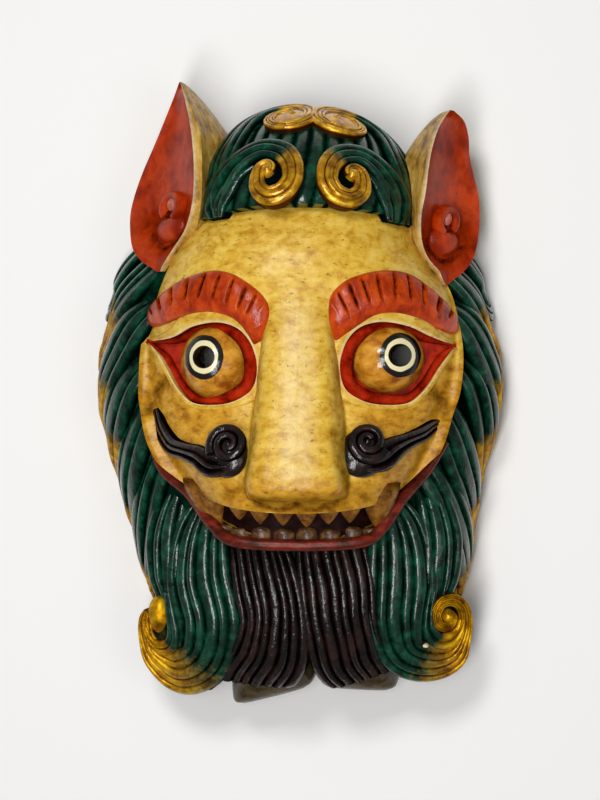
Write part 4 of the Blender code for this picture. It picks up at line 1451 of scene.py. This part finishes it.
@dataclass
class Mouth:
    """Open mouth with its lower lip, two rows of teeth and the fangs."""

    depth: float = 19.0
    lip_width: float = 7.5
    upper: tuple[float, ...] = (-38.5, -24.5, -9.3, 6, 20, 33.5)
    lower: tuple[float, ...] = (-51, -39, -25, -10, 5, 20, 34, 46)

    def lip_top(self, x: float) -> float:
        """Height of the lower lip's rounded edge at a distance from the middle of the face."""
        return smooth_value(LIP_TOP, abs(x))

    def cutter(self) -> Piece:
        """Tool that opens the mouth behind the teeth, down past the lower lip.

        Returns:
            The tool.
        """
        rings = []
        upper, lower = smooth_path(UPPER_LIP, 81), smooth_path(LOWER_LIP, 81)
        for (x, top), (below, bottom) in zip(upper[2:-2], lower[2:-2]):
            x = (x + below) / 2
            bottom -= 10
            deepest = min(bare_face(x, top), self.lip_top(x) + 12)
            floor = deepest - self.depth * (1 - (x / 110) ** 2) - 2
            rings.append([Vector((FACE_MIDDLE + x, y, height)) for y, height in (
                (top, floor), ((top + bottom) / 2, floor), (bottom, floor),
                (bottom, CLEAR_ABOVE), (top, CLEAR_ABOVE))])
        return shape("mouth_tool", skin(rings), MOUTH_DARK)

    def lip(self) -> None:
        """Makes the rounded band round the lower edge of the mouth, from corner to corner."""
        path = smooth_path(LOWER_LIP, 260)
        steps = 12
        rings = []
        for index, (x, y) in enumerate(path):
            along = heading(path, index)
            inward = Vector((-along.y, along.x))
            width = self.lip_width * (0.55 + 0.5 * ramp(-28, -56, y))
            angles = [math.pi * step / steps for step in range(steps + 1)]
            edge = [Vector((width * (0.5 - 0.5 * math.cos(angle)),
                            self.lip_top(x) - 5 + 5.5 * math.sin(angle) ** 0.7))
                    for angle in angles]
            rings.append([Vector((FACE_MIDDLE + x + inward.x * point.x, y + inward.y * point.x,
                                  point.y + 0.25 * hand(Vector((x, y, point.x)), 8)))
                          for point in (Vector((-1, 20)), *edge, Vector((width, 20)))])
        hand_over(shape("lower_lip", skin(rings), LIP_RED))

    def tooth(self, x: float, root: float, tip: float, radius: float, height: float,
              flat: float = 1.0, bend: float = 0.0, blunt: float = 1.3) -> Form:
        """Pointed tooth.

        Args:
            x: Its place across the mouth.
            root: y of its root.
            tip: y of its tip.
            radius: Half its width at the root.
            height: Height of its axis over the rim.
            flat: Its depth as a share of its width.
            bend: How far the tip leans sideways.
            blunt: Blunter above 1.

        Returns:
            The form.
        """
        rows, steps = 18, 20
        rings = []
        for row in range(rows + 1):
            share = row / rows
            size = radius * (1 - share ** blunt) ** 0.8 + 0.25
            rings.append([Vector((FACE_MIDDLE + x + bend * share * share + size * math.cos(angle),
                                  root + (tip - root) * share,
                                  height + size * flat * math.sin(angle)))
                          for angle in (2 * math.pi * step / steps for step in range(steps))])
        bm = skin(rings)
        # Painted shade at the root, under the lip; the tip is a little darker as well.
        mark = bm.verts.layers.float.new("dirt")
        for vert in bm.verts:
            share = min(max((vert.co.y - root) / (tip - root), 0), 1)
            vert[mark] = 0.85 * ramp(0.25, 0.0, share) + 0.3 * ramp(0.8, 1, share)
        return bm

    def teeth(self) -> None:
        """Makes the upper row, the lower row and the large fang at each end."""
        upper = []
        for index, x in enumerate(self.upper):
            root = smooth_value(UPPER_LIP, x) + 5
            upper.append(self.tooth(x, root, root - 13.5 - 0.8 * (index % 2), 9.6,
                                    122.5 - 0.006 * x * x, 0.7, 0, 1.15))
        hand_over(shape("upper_teeth", gathered(upper), TOOTH_OCHRE))
        fangs = [self.tooth(-63, -52, -86, 16, 91, 0.8, 9, 1.5),
                 self.tooth(52, -54, -84, 13.5, 101, 0.85, -2, 1.5)]
        hand_over(shape("fangs", gathered(fangs), TOOTH_OCHRE))
        lower = [self.tooth(x, -97 + 0.004 * x * x, -82 - 1.5 * (index % 2), 6.9,
                            108 - 0.004 * x * x, 0.5, 0, 9) for index, x in enumerate(self.lower)]
        hand_over(shape("lower_teeth", gathered(lower), DARK_TOOTH))

    def build(self) -> None:
        """Makes the lip and the teeth."""
        self.lip()
        self.teeth()


# Ears.


@dataclass
class Ear:
    """Upright ear with its hollow turned out and forwards, and a rolled scroll in it."""

    side: Side
    hollow: float = 9.0
    thickness: float = 2.4

    @property
    def rows(self) -> list[tuple[float, float, float, float, float]]:
        """Outline of the ear, from its foot to its tip.

        Returns:
            For each y: x of the front rim and of the outer edge, and the heights of both.
        """
        if self.side is Side.LEFT:
            return [(86.5, -88, -91, 73, 71), (89.7, -86.5, -95.5, 76, 68),
                    (93.8, -83.5, -102, 79, 64), (101.8, -77.5, -108.8, 83, 58),
                    (114, -68.5, -112.3, 91, 50), (131, -63, -112.7, 97, 44),
                    (152.5, -61.7, -106.4, 99, 43), (176.5, -64, -95.5, 94, 46),
                    (196, -68.7, -86.6, 84, 50), (208, -73.2, -81, 70, 54),
                    (216, -76.5, -77.5, 60, 57)]
        return [(77, 103.5, 104.5, 64, 62), (81, 101.5, 109, 68, 59), (86, 99.3, 115, 72, 55),
                (94, 92.4, 121, 78, 50), (104.5, 88.4, 124.3, 85, 45), (120, 88, 126, 92, 42),
                (136, 91, 125.6, 96, 41), (152, 93, 122.2, 95, 42), (165, 95, 119.3, 90, 45),
                (178, 98.3, 118.6, 80, 49), (188, 102.5, 115.6, 69, 53),
                (194.5, 106.5, 109, 61, 57)]

    @property
    def inwards(self) -> Vector:
        """Direction into the hollow."""
        return Vector((-self.side.value * 0.75, 0, -0.65))

    @property
    def lobe(self) -> tuple[float, float]:
        """Place of the scroll's lobe on the hollow."""
        return self.side.pick((21, 115.5), (26.5, 106))

    def soil_and_shade(self, across: float, y: float) -> float:
        """Dirt and painted shade on the hollow.

        Args:
            across: Place from the front rim, in fiftieths of its width.
            y: Place along the mask.

        Returns:
            The darkening: near the tip, painted shadow under the lobe and painted shade round it.
        """
        out, up = across - self.lobe[0], y - self.lobe[1]
        away = math.hypot(out / 13.5, up / 11)
        under = ramp(0.9, 1.05, away) * ramp(1.6, 1.2, away) * ramp(2, -4, up)
        return max(0.5 * ramp(8, 1.5, self.rows[-1][0] - y), under, 0.35 * ramp(2.6, 1.2, away))

    def body(self) -> tuple[Form, Form]:
        """Two skins that meet at the rim.

        Returns:
            The yellow back and the red hollow.
        """
        sign, inwards, tip, steps = self.side.value, self.inwards, self.rows[-1], 24
        web, bow, shelf = self.side.pick((33.6, 0.78, 0.02), (37.6, 0.57, 0.22))
        outside, inside = Loft(), Loft()
        for y, inner, outer, front, back in smooth_path(self.rows, 110):
            share = min(max((tip[0] - y) / 40, 0), 1)
            thick = min(3 * share + 0.1, 1)
            root = tip[1] - sign * (1 + web * share ** bow)
            rim, edge = Vector((inner, y, front)), Vector((outer, y, back))
            across = edge - rim
            depth = (self.hollow * math.sqrt(min(share * 1.5, 1) + 0.02)
                     * min(across.length / 50, 1))
            dip = [rim + across * (step / steps)
                   + inwards * depth * math.sin(math.pi * step / steps) ** 0.6
                   for step in range(steps + 1)]
            inside.start()
            # The hollow takes dirt and painted shade; its rim is pale with worn paint and painted
            # highlight.
            for step, point in enumerate(dip):
                inside.add(point, dirt=self.soil_and_shade(2.08 * step, y),
                           worn={0: 1.0, 1: 0.6}.get(step, 0.0))
            for step, point in enumerate(reversed(dip)):
                inside.add(point + inwards * self.thickness * thick, worn=float(step == steps))
            crest = (front * (1 - shelf) + back * shelf + thick
                     - 16 * ramp(self.lobe[1] + 3, self.lobe[1] - 12, y))
            shell = [rim, *(point + inwards * 0.8 * thick for point in dip[1:-1]), edge,
                     edge + Vector((-sign * 1.5, 0, -3)) * thick,
                     edge + Vector((-sign * 3, 0, -6)) * thick,
                     Vector((outer * 0.75 + root * 0.25, y, back - 10 * thick)),
                     Vector((outer * 0.5 + root * 0.5, y, back - 13 * thick)),
                     Vector((root, y, back - 7 * thick)),
                     Vector((root * 0.78 + inner * 0.22, y, (front + back) / 2 - 2 * thick)),
                     Vector((root * 0.55 + inner * 0.45, y, (front + back) / 2 + 3 * thick)),
                     Vector((root * 0.28 + inner * 0.72, y, crest)),
                     rim + Vector((-sign * 3, 0, -2)) * thick]
            outside.start()
            # The front rim is pale with worn paint and painted highlight.
            for step, point in enumerate(shell):
                outside.add(point, worn=0.9 if step < 2 else 0.0)
        return outside.skin(), inside.skin()

    def surface(self) -> Surface:
        """Surface of the ear's hollow.

        Returns:
            The surface: fiftieths of its width from the front rim, and along the mask.
        """
        columns = [[(row[0], row[index]) for row in self.rows] for index in (1, 2, 3, 4)]

        def place(across: float, y: float) -> Vector:
            """Point of the surface.

            Args:
                across: Place from the front rim.
                y: Place along the mask.

            Returns:
                The point.
            """
            inner, outer, front, back = (smooth_value(column, y) for column in columns)
            rim, edge = Vector((inner, y, front)), Vector((outer, y, back))
            dip = self.hollow * math.sin(math.pi * min(max(across / 50, 0.02), 0.98)) ** 0.6
            return rim + (edge - rim) * (across / 50) + self.inwards * dip
        return place

    def scroll(self) -> Form:
        """Scroll of skin that rolls up into a bud at the foot of the hollow.

        Returns:
            The form.
        """
        surface = self.surface()
        across, y = self.lobe
        turn = []
        for step in range(20):
            angle = math.radians(-50 + 290 * step / 19)
            turn.append((across + 0.5 + 7 * math.cos(angle), y + 14 + 8 * math.sin(angle), 3, 2.4))
        return gathered([boss(surface, across, y, (12.5, 9.5), 6.5),
                         Lock(surface, turn, 1, crown=2.2, relief=1.6, sink=6, step=0.8).skin(),
                         # This boss is dark all over, painted shade for the scroll's hole.
                         boss(surface, across, y + 9, (7, 4.5), 5.6, dirt=1.0),
                         # The bud on top is paler with worn paint and a painted highlight.
                         boss(surface, across, y + 16, (4, 6), 7, worn=0.35)])

    def build(self) -> None:
        """Makes the ear's back, its hollow and its scroll."""
        back, hollow = self.body()
        label = self.side.label
        hand_over(shape("ear_back_" + label, back, EAR_YELLOW))
        hand_over(shape("ear_hollow_" + label, hollow, EAR_RED))
        hand_over(shape("ear_scroll_" + label, self.scroll(), EAR_RED))


# Hair.


@dataclass
class HairCap:
    """Hair drawn up from the hairline over the crown, parted in the middle, with four coils."""

    strands: float = 11.0
    gold_front: tuple[float, float] = (0.22, 0.44)
    gold_crown: tuple[float, float] = (0.34, 0.44)

    def cap(self) -> Piece:
        """The cap under the coils, with the strands that run up to them.

        Returns:
            The piece, not yet clear of the hollow.
        """
        crown = CAP_MIDDLE.y + CAP_RADII.y
        rows, columns = 110, 220
        loft = Loft()
        for row in range(rows + 1):
            loft.start()
            share = row / rows
            for column in range(columns + 1):
                angle = math.pi * column / columns
                cosine = math.cos(angle)
                y = HAIRLINE + (crown - FLOOR_GAP - HAIRLINE) * (1 - (1 - share) ** 1.7)
                y -= HAIRLINE_DROOP * cosine ** 2 * (1 - share)
                girth = math.sqrt(max(1 - ((y - CAP_MIDDLE.y) / CAP_RADII.y) ** 2, 0))
                out = Vector((CAP_RADII.x * girth * cosine, y - CAP_MIDDLE.y,
                              CAP_RADII.z * girth * math.sin(angle)))
                turn = (angle - math.pi / 2) * 90 * (1 - 0.55 * share) + 9 * math.sin(3 * share)
                ridge = abs(math.sin(math.pi * turn / self.strands)) ** 0.6
                lift = 1.5 * (ridge - 0.6) * ramp(0, 0.05, share) * ramp(1.0, 0.9, share)
                # The grooves between the strands, and the cap's sides down to the floor, are
                # darkened with painted shade.
                loft.add(CAP_MIDDLE + out + out.normalized() * lift, groove=1 - ridge)
            ring = loft.rings[-1]
            for edge in (ring[-1], ring[0]):
                loft.add(Vector((edge.x, edge.y, FLOOR_GAP)), groove=0.5)
        return shape("hair_cap", loft.skin(), GREEN_HAIR)

    def front_curl(self, side: Side) -> None:
        """Makes the lock that rises from the ear's foot and rolls down into a coil.

        Args:
            side: Which side of the parting.
        """
        if side is Side.LEFT:
            eye, spread = (-16, 43), -1
            arm = ((37, -17, 9, -2), (35, -1, 11, 0), (25, 14, 10.5, 1.5))
            fan = ((38, -24, 6, -2), (37, -14, 9, -0.5), (31, -2, 10, 0), (23, 8, 8, 0.3),
                   (13, 13, 5, 0))
        else:
            eye, spread = (34, 43), 0.95
            arm = ((31, -19, 8.5, -2), (30, -2, 10, 0), (23, 13, 10, 1.5))
            fan = ((32, -26, 6, -2), (31, -15, 8.5, -0.5), (27, -2, 9.5, 0), (20, 8, 8, 0.3),
                   (11, 13, 5, 0))
        coil = ((8, 21.5, 8.7, 3), (-6.5, 16.5, 8.2, 4), (-13.5, 7, 7.4, 4.8), (-15, -5, 6.8, 5.4),
                (-10, -14, 7, 5.6), (-1, -16.8, 7, 5.6), (5.5, -11.5, 5.8, 5.6),
                (6.8, -3, 4.8, 5.6), (5.2, 4, 4, 5.8), (1.5, 6, 3.4, 6.2), (-1.5, 3.5, 3, 6.6),
                (-1, 0, 2.6, 6.8))
        forms = [Lock(on_cap, placed((*arm, *coil), spread, *eye), 3, crown=2.5, relief=2.6,
                      sink=9, step=1.0, gold=self.gold_front, seed=side.value).skin(),
                 Lock(on_cap, placed(fan, spread, *eye), 3, crown=2, relief=2.3, sink=9, step=1.2,
                      seed=side.value + 2).skin(),
                 boss(on_cap, eye[0] + spread * 0.5, eye[1] + 1.5, (4.6, 5.6), 10, gold=1.0),
                 # This boss, under the coil, is darkened all over with painted shade.
                 boss(on_cap, eye[0] - spread * 3, eye[1] - 4, (12, 14), 5.0, groove=1.0)]
        hand_over(shape("front_curl_" + side.label, gathered(forms), GREEN_HAIR))

    def crown_curl(self, side: Side) -> None:
        """Makes the lock that climbs beside the ear to a flat coil on the crown.

        Args:
            side: Which side of the parting.
        """
        eye, spread = side.pick(((-8, 104), -1), ((26, 104), 1.05))
        route = ((46, -84, 5, -3), (45, -60, 8, -1), (42, -35, 10, 0.5), (35, -12, 9.5, 1),
                 (27, 8, 8, 1), (14, 19, 7, 1), (-2, 20, 6, 1), (-13, 10, 5.5, 1.5),
                 (-14, -5, 5.5, 2), (-6, -15, 5, 2), (6, -15, 4.5, 2), (12, -6, 4, 2),
                 (9, 4, 3.5, 2), (0, 6, 3, 2), (-3, 0, 2.5, 2.5))
        forms = [Lock(on_cap, placed(route, spread, *eye), 4, crown=2.5, relief=2.3, sink=9,
                      step=1.2, gold=self.gold_crown, seed=side.value + 4).skin(),
                 boss(on_cap, *eye, (17, 18), 4, gold=0.8)]
        hand_over(shape("crown_curl_" + side.label, gathered(forms), GREEN_HAIR))

    def build(self, hollow: Piece) -> None:
        """Makes the cap, clear of the hollow, and its coils.

        Args:
            hollow: The tool that clears it.
        """
        cap = self.cap()
        carve(cap, hollow)
        hand_over(cap)
        for side in Side:
            self.front_curl(side)
            self.crown_curl(side)


@dataclass
class Mane:
    """Row of locks down one side of the mane, each hooked up at its tip on the outer edge."""

    side: Side
    tips: tuple[float, ...] = (66, 26, -22, -55, -94, -131)
    golds: tuple[tuple[float, float], ...] = ((0.6, 1.4), *[(0.22, 0.41)] * 3, (0.28, 0.46),
                                              (0.3, 0.48))
    span: float = 96.0

    @property
    def start(self) -> float:
        """How far up from the rim the locks start, under the edge of the face."""
        return self.side.pick(80, 66)

    @property
    def rise(self) -> float:
        """How far the locks swell up against the edge of the face."""
        return self.side.pick(5, 8)

    def build(self) -> None:
        """Makes the six locks of the side as one piece."""
        forms = []
        for index, tip in enumerate(self.tips):
            start, first = (80, (12, -3)) if index > 3 else (self.start, (8, -12))
            rise, swell = (-4, 2) if index == 1 else (self.rise, self.rise)
            route = ((start, tip + self.span, *first),
                     (0.84 * start, tip + 0.78 * self.span, 13, rise - 3),
                     (0.62 * start, tip + 0.48 * self.span, 14, swell + 0.5),
                     (0.36 * start, tip + 0.22 * self.span, 13, 1.5 + 0.4 * rise))
            if index == 0:
                route = ((27, tip + 50, 8, -8), (24, tip + 38, 12, -1), (20, tip + 26, 14, 3),
                         (15, tip + 15, 13, 4))
            hook = ((12, tip + 8, 10.5, 2.2), (9, tip - 3, 8.5, 2.4), (15, tip - 6, 6, 2.4),
                    (21, tip - 2, 4, 2), (21, tip + 4, 2, 1.2))
            forms.append(Lock(on_mane(self.side), (*route, *hook), 3, crown=3, relief=2.6,
                              sink=10, step=1.5, gold=self.golds[index], grime=0.55,
                              seed=index + self.side.value, per_ridge=10).skin())
        hand_over(shape("mane_" + self.side.label, gathered(forms), GREEN_HAIR))


@dataclass
class SideLock:
    """Broad lock from the jaw that winds outwards into a coil at the mask's lower corner."""

    side: Side
    # Places along the body, each with its middle, half width, height and underside.
    rows: tuple[tuple[float, ...], ...] = (
        (-66, 54, 18, 66, 0.4), (-90, 60, 30, 74, 0.4), (-120, 66, 34, 70, 0.4),
        (-150, 76, 32, 58, 0.4), (-172, 77, 29, 47, 12), (-187, 76, 21, 38, 20),
        (-193, 74, 11, 32, 24))

    def body(self) -> Form:
        """Thick body under the strands.

        Returns:
            The form.
        """
        fall = self.side.pick(8, -6)
        rings = []
        for index, (y, middle, half_width, height, floor) in enumerate(smooth_path(self.rows, 40)):
            rings.append(arch(half_width, height, self.side.value * middle + 4,
                              y - fall * index / 39, 40, 0.8, max(floor, FLOOR_GAP)))
        # The body shows only between and under the strands, so it is darkened all over with painted
        # shade.
        return marked(rings, groove=0.6)

    def build(self) -> None:
        """Makes the body, the strands and the coil's eye."""
        sign = self.side.value
        surface = on_bulge(self.side.pick((-90.5, -153, 56), (105, -152, 56)), 25 * sign, 12, 230)
        if self.side is Side.LEFT:
            route = ((-46, 88, 9, -4), (-36, 64, 19, 0), (-33, 34, 24, 1), (-37, 4, 24, 2),
                     (-31, -19, 21.5, 2.5), (-13, -29, 19.5, 3), (2, -22, 13, 3.5),
                     (8, -9, 7.5, 4), (8.5, 3, 5.5, 4), (6, 10, 3.5, 3.5))
            hug = ((-11, 24, 3, 3), (-13, 8, 4.5, 4), (-14, -3, 5.5, 4.6), (-10.5, -11.5, 6, 4.8),
                   (-2, -14, 5.5, 4.6), (5, -9.5, 4, 4.4), (9, -1, 2.8, 4))
            knob, gold = ((-2, 7), (9, 14)), (0.24, 0.83)
        else:
            route = ((-48, 88, 9, -4), (-38, 64, 20, 0), (-34, 34, 25, 1), (-35, 5, 23, 2),
                     (-29, -14.5, 19, 2.5), (-12, -21.5, 16.5, 3), (2.5, -19, 12.5, 3.5),
                     (8.5, -8, 7, 4), (10, 4, 5.5, 4), (7, 14, 4.6, 4.5), (0, 19, 4.2, 5),
                     (-8, 17.5, 4, 5.2), (-12, 10, 3.8, 5.4), (-9, 2.5, 3.4, 5.6),
                     (-2.5, 2, 3, 5.8), (0.5, 7, 2.6, 6), (-2, 11, 2.2, 6.2))
            hug = ((-15, 26, 3, 3), (-17, 12, 3.5, 4), (-16, 0, 5, 4.8), (-9, -7.5, 6, 5),
                   (-1, -7, 6, 5), (5, -1, 4, 5), (6.5, 6, 3, 5))
            knob, gold = ((-3, 8), (5, 5.5)), (0.17, 0.48)
        outer = ((-24, 112, 8, -9), (-13, 88, 12, -3), (-8, 62, 15, 0), (-8, 38, 14, 0),
                 (-9, 22, 11, -2), (-8, 8, 8, -5))
        forms = [Lock(surface, placed(hug, sign), 2, crown=3, relief=2.4, sink=12, step=1,
                      gold=(0.3, 0.75), grime=0.4, seed=sign + 5).skin(),
                 Lock(surface, placed(route, sign), 6, crown=4, relief=3.4, sink=22, step=1.3,
                      gold=gold, grime=0.3, seed=sign + 2).skin(),
                 Lock(surface, placed(outer, sign), 4, crown=4, relief=3, sink=24, step=1.5,
                      seed=sign + 9).skin(),
                 boss(surface, sign * knob[0][0], knob[0][1], knob[1], 9.5, gold=1.0, dirt=0.4),
                 # The wide boss under the coil is darkened with painted shade, with a little gold.
                 boss(surface, sign * -4, -1, (14, 17), 6.5, gold=0.3, groove=0.6)]
        if self.side is Side.RIGHT:
            # A chip shows the pale ground under the paint.
            forms.append(boss(surface, -17.8, -10.8, (3.6, 2.2), 10, worn=1.4))
        hand_over(shape("side_body_" + self.side.label, self.body(), GREEN_HAIR))
        hand_over(shape("side_lock_" + self.side.label, gathered(forms), GREEN_HAIR))


@dataclass
class Beard:
    """One of the two bunches of the beard, sweeping outwards, with a bare sloping foot."""

    side: Side

    def build(self) -> None:
        """Makes the strands and the body with its foot."""
        sign = self.side.value
        surface = on_bulge((PARTING, -150, 80), 0, 12, 200)
        if self.side is Side.LEFT:
            route = ((-26, 54, 21, -4), (-19, 28, 23, 0), (-14, 3, 23, 1), (-18, -22, 26, 0.5),
                     (-30, -42, 25, -3))
            middle, half_width, foot, lean = -15, 30, -202.6, 0.26
        else:
            route = ((24, 54, 25, -4), (27, 28, 26, 0), (29, 2, 25, 1), (34, -22, 25, 0.5),
                     (44, -39, 23, -3))
            middle, half_width, foot, lean = 43.5, 28.5, -197, -0.04
        strands = Lock(surface, route, 8, crown=6, relief=3.2, sink=20,
                       slant=self.side.pick(-13, 6), step=1.3, seed=sign + 6).skin()
        rows = ((-90, 1, 78, 0.4), (-140, 1, 79, 0.4), (foot + 26, 1, 71, 0.4),
                (foot + 12, 0.98, 62, 14), (foot + 3, 0.9, 54, 30), (foot, 0.7, 46, 36))
        rings = []
        for y, share, height, floor in smooth_path(rows, 44):
            ring = arch(half_width * share, height, middle, y, 40, 0.55, max(floor, FLOOR_GAP))
            for point in ring:
                point.y += lean * (point.x - middle)
            rings.append(ring)
        hand_over(shape("beard_foot_" + self.side.label, skin(rings), BEARD_FOOT))
        hand_over(shape("beard_" + self.side.label, strands, BLACK_HAIR))


# Studio.


@dataclass
class Studio:
    """Pale floor, soft lights, and the camera that looks down on the mask."""

    distance: float = 1.5
    turn: float = 5.0
    lens: float = 95.94
    floor_size: float = 6.0
    film_height: float = 36.0
    sky: float = 0.16

    def floor(self) -> None:
        """Plain pale floor under the mask."""
        bm = bmesh.new()
        bmesh.ops.create_grid(bm, x_segments=1, y_segments=1, size=self.floor_size / 2)
        mesh = bpy.data.meshes.new("floor")
        bm.to_mesh(mesh)
        bm.free()
        material = bpy.data.materials.new("pale_floor")
        material.use_nodes = True
        shader = material.node_tree.nodes["Principled BSDF"]
        shader.inputs["Base Color"].default_value = linear("F4F3F1")
        shader.inputs["Roughness"].default_value = 0.9
        mesh.materials.append(material)
        floor = bpy.data.objects.new("floor", mesh)
        bpy.context.scene.collection.objects.link(floor)

    def light(self, name: str, place: tuple[float, float, float], size: tuple[float, float],
              power: float) -> None:
        """Soft box of light that looks at the mask.

        Args:
            name: Its name.
            place: Where it hangs, in metres.
            size: Its width and length, in metres.
            power: Its power in watts.
        """
        data = bpy.data.lights.new(name, "AREA")
        data.shape = "RECTANGLE"
        data.size, data.size_y = size
        data.energy = power
        lamp = bpy.data.objects.new(name, data)
        lamp.location = place
        lamp.rotation_euler = (-Vector(place)).to_track_quat("-Z", "Y").to_euler()
        bpy.context.scene.collection.objects.link(lamp)

    def camera(self) -> None:
        """Camera over the mask, a little to its right, with the beard towards the bottom."""
        data = bpy.data.cameras.new("camera")
        data.sensor_fit = "VERTICAL"
        data.sensor_height = self.film_height
        data.lens = self.lens
        camera = bpy.data.objects.new("camera", data)
        angle = math.radians(self.turn)
        centre = TO_FRAME.translation
        camera.location = (centre.x + self.distance * math.sin(angle), centre.y,
                           self.distance * math.cos(angle))
        camera.rotation_euler = (0, angle, 0)
        bpy.context.scene.collection.objects.link(camera)
        bpy.context.scene.camera = camera

    def build(self) -> None:
        """Sets up the floor, the lights, the sky and the camera."""
        self.floor()
        self.light("key", (-0.25, 0.75, 1.6), (0.4, 0.4), 12)
        self.light("fill", (0.8, -0.2, 1.5), (0.6, 0.6), 2)
        self.light("strip", (-0.1, -0.3, 1.5), (0.28, 0.9), 12)
        world = bpy.data.worlds.new("sky")
        world.use_nodes = True
        sky = world.node_tree.nodes["Background"].inputs
        sky["Color"].default_value = linear("FFFFFF")
        sky["Strength"].default_value = self.sky
        bpy.context.scene.world = world
        bpy.context.scene.view_settings.view_transform = "Standard"
        self.camera()


def main() -> None:
    """Builds the mask's pieces in order, then the studio."""
    logging.basicConfig(level=logging.INFO, format="%(message)s")
    head = Head()
    head.build()
    _, hidden, *drills = head.tools
    for side, drill in zip(Side, drills):
        Eye(side).build(drill)
        Brow(side).build()
        Moustache(side).build()
        Ear(side).build()
    Mouth().build()
    HairCap().build(hidden)
    for side in Side:
        Mane(side).build()
        SideLock(side).build()
        Beard(side).build()
    drop(head.tools)
    Studio().build()


if __name__ == "__main__":
    main()
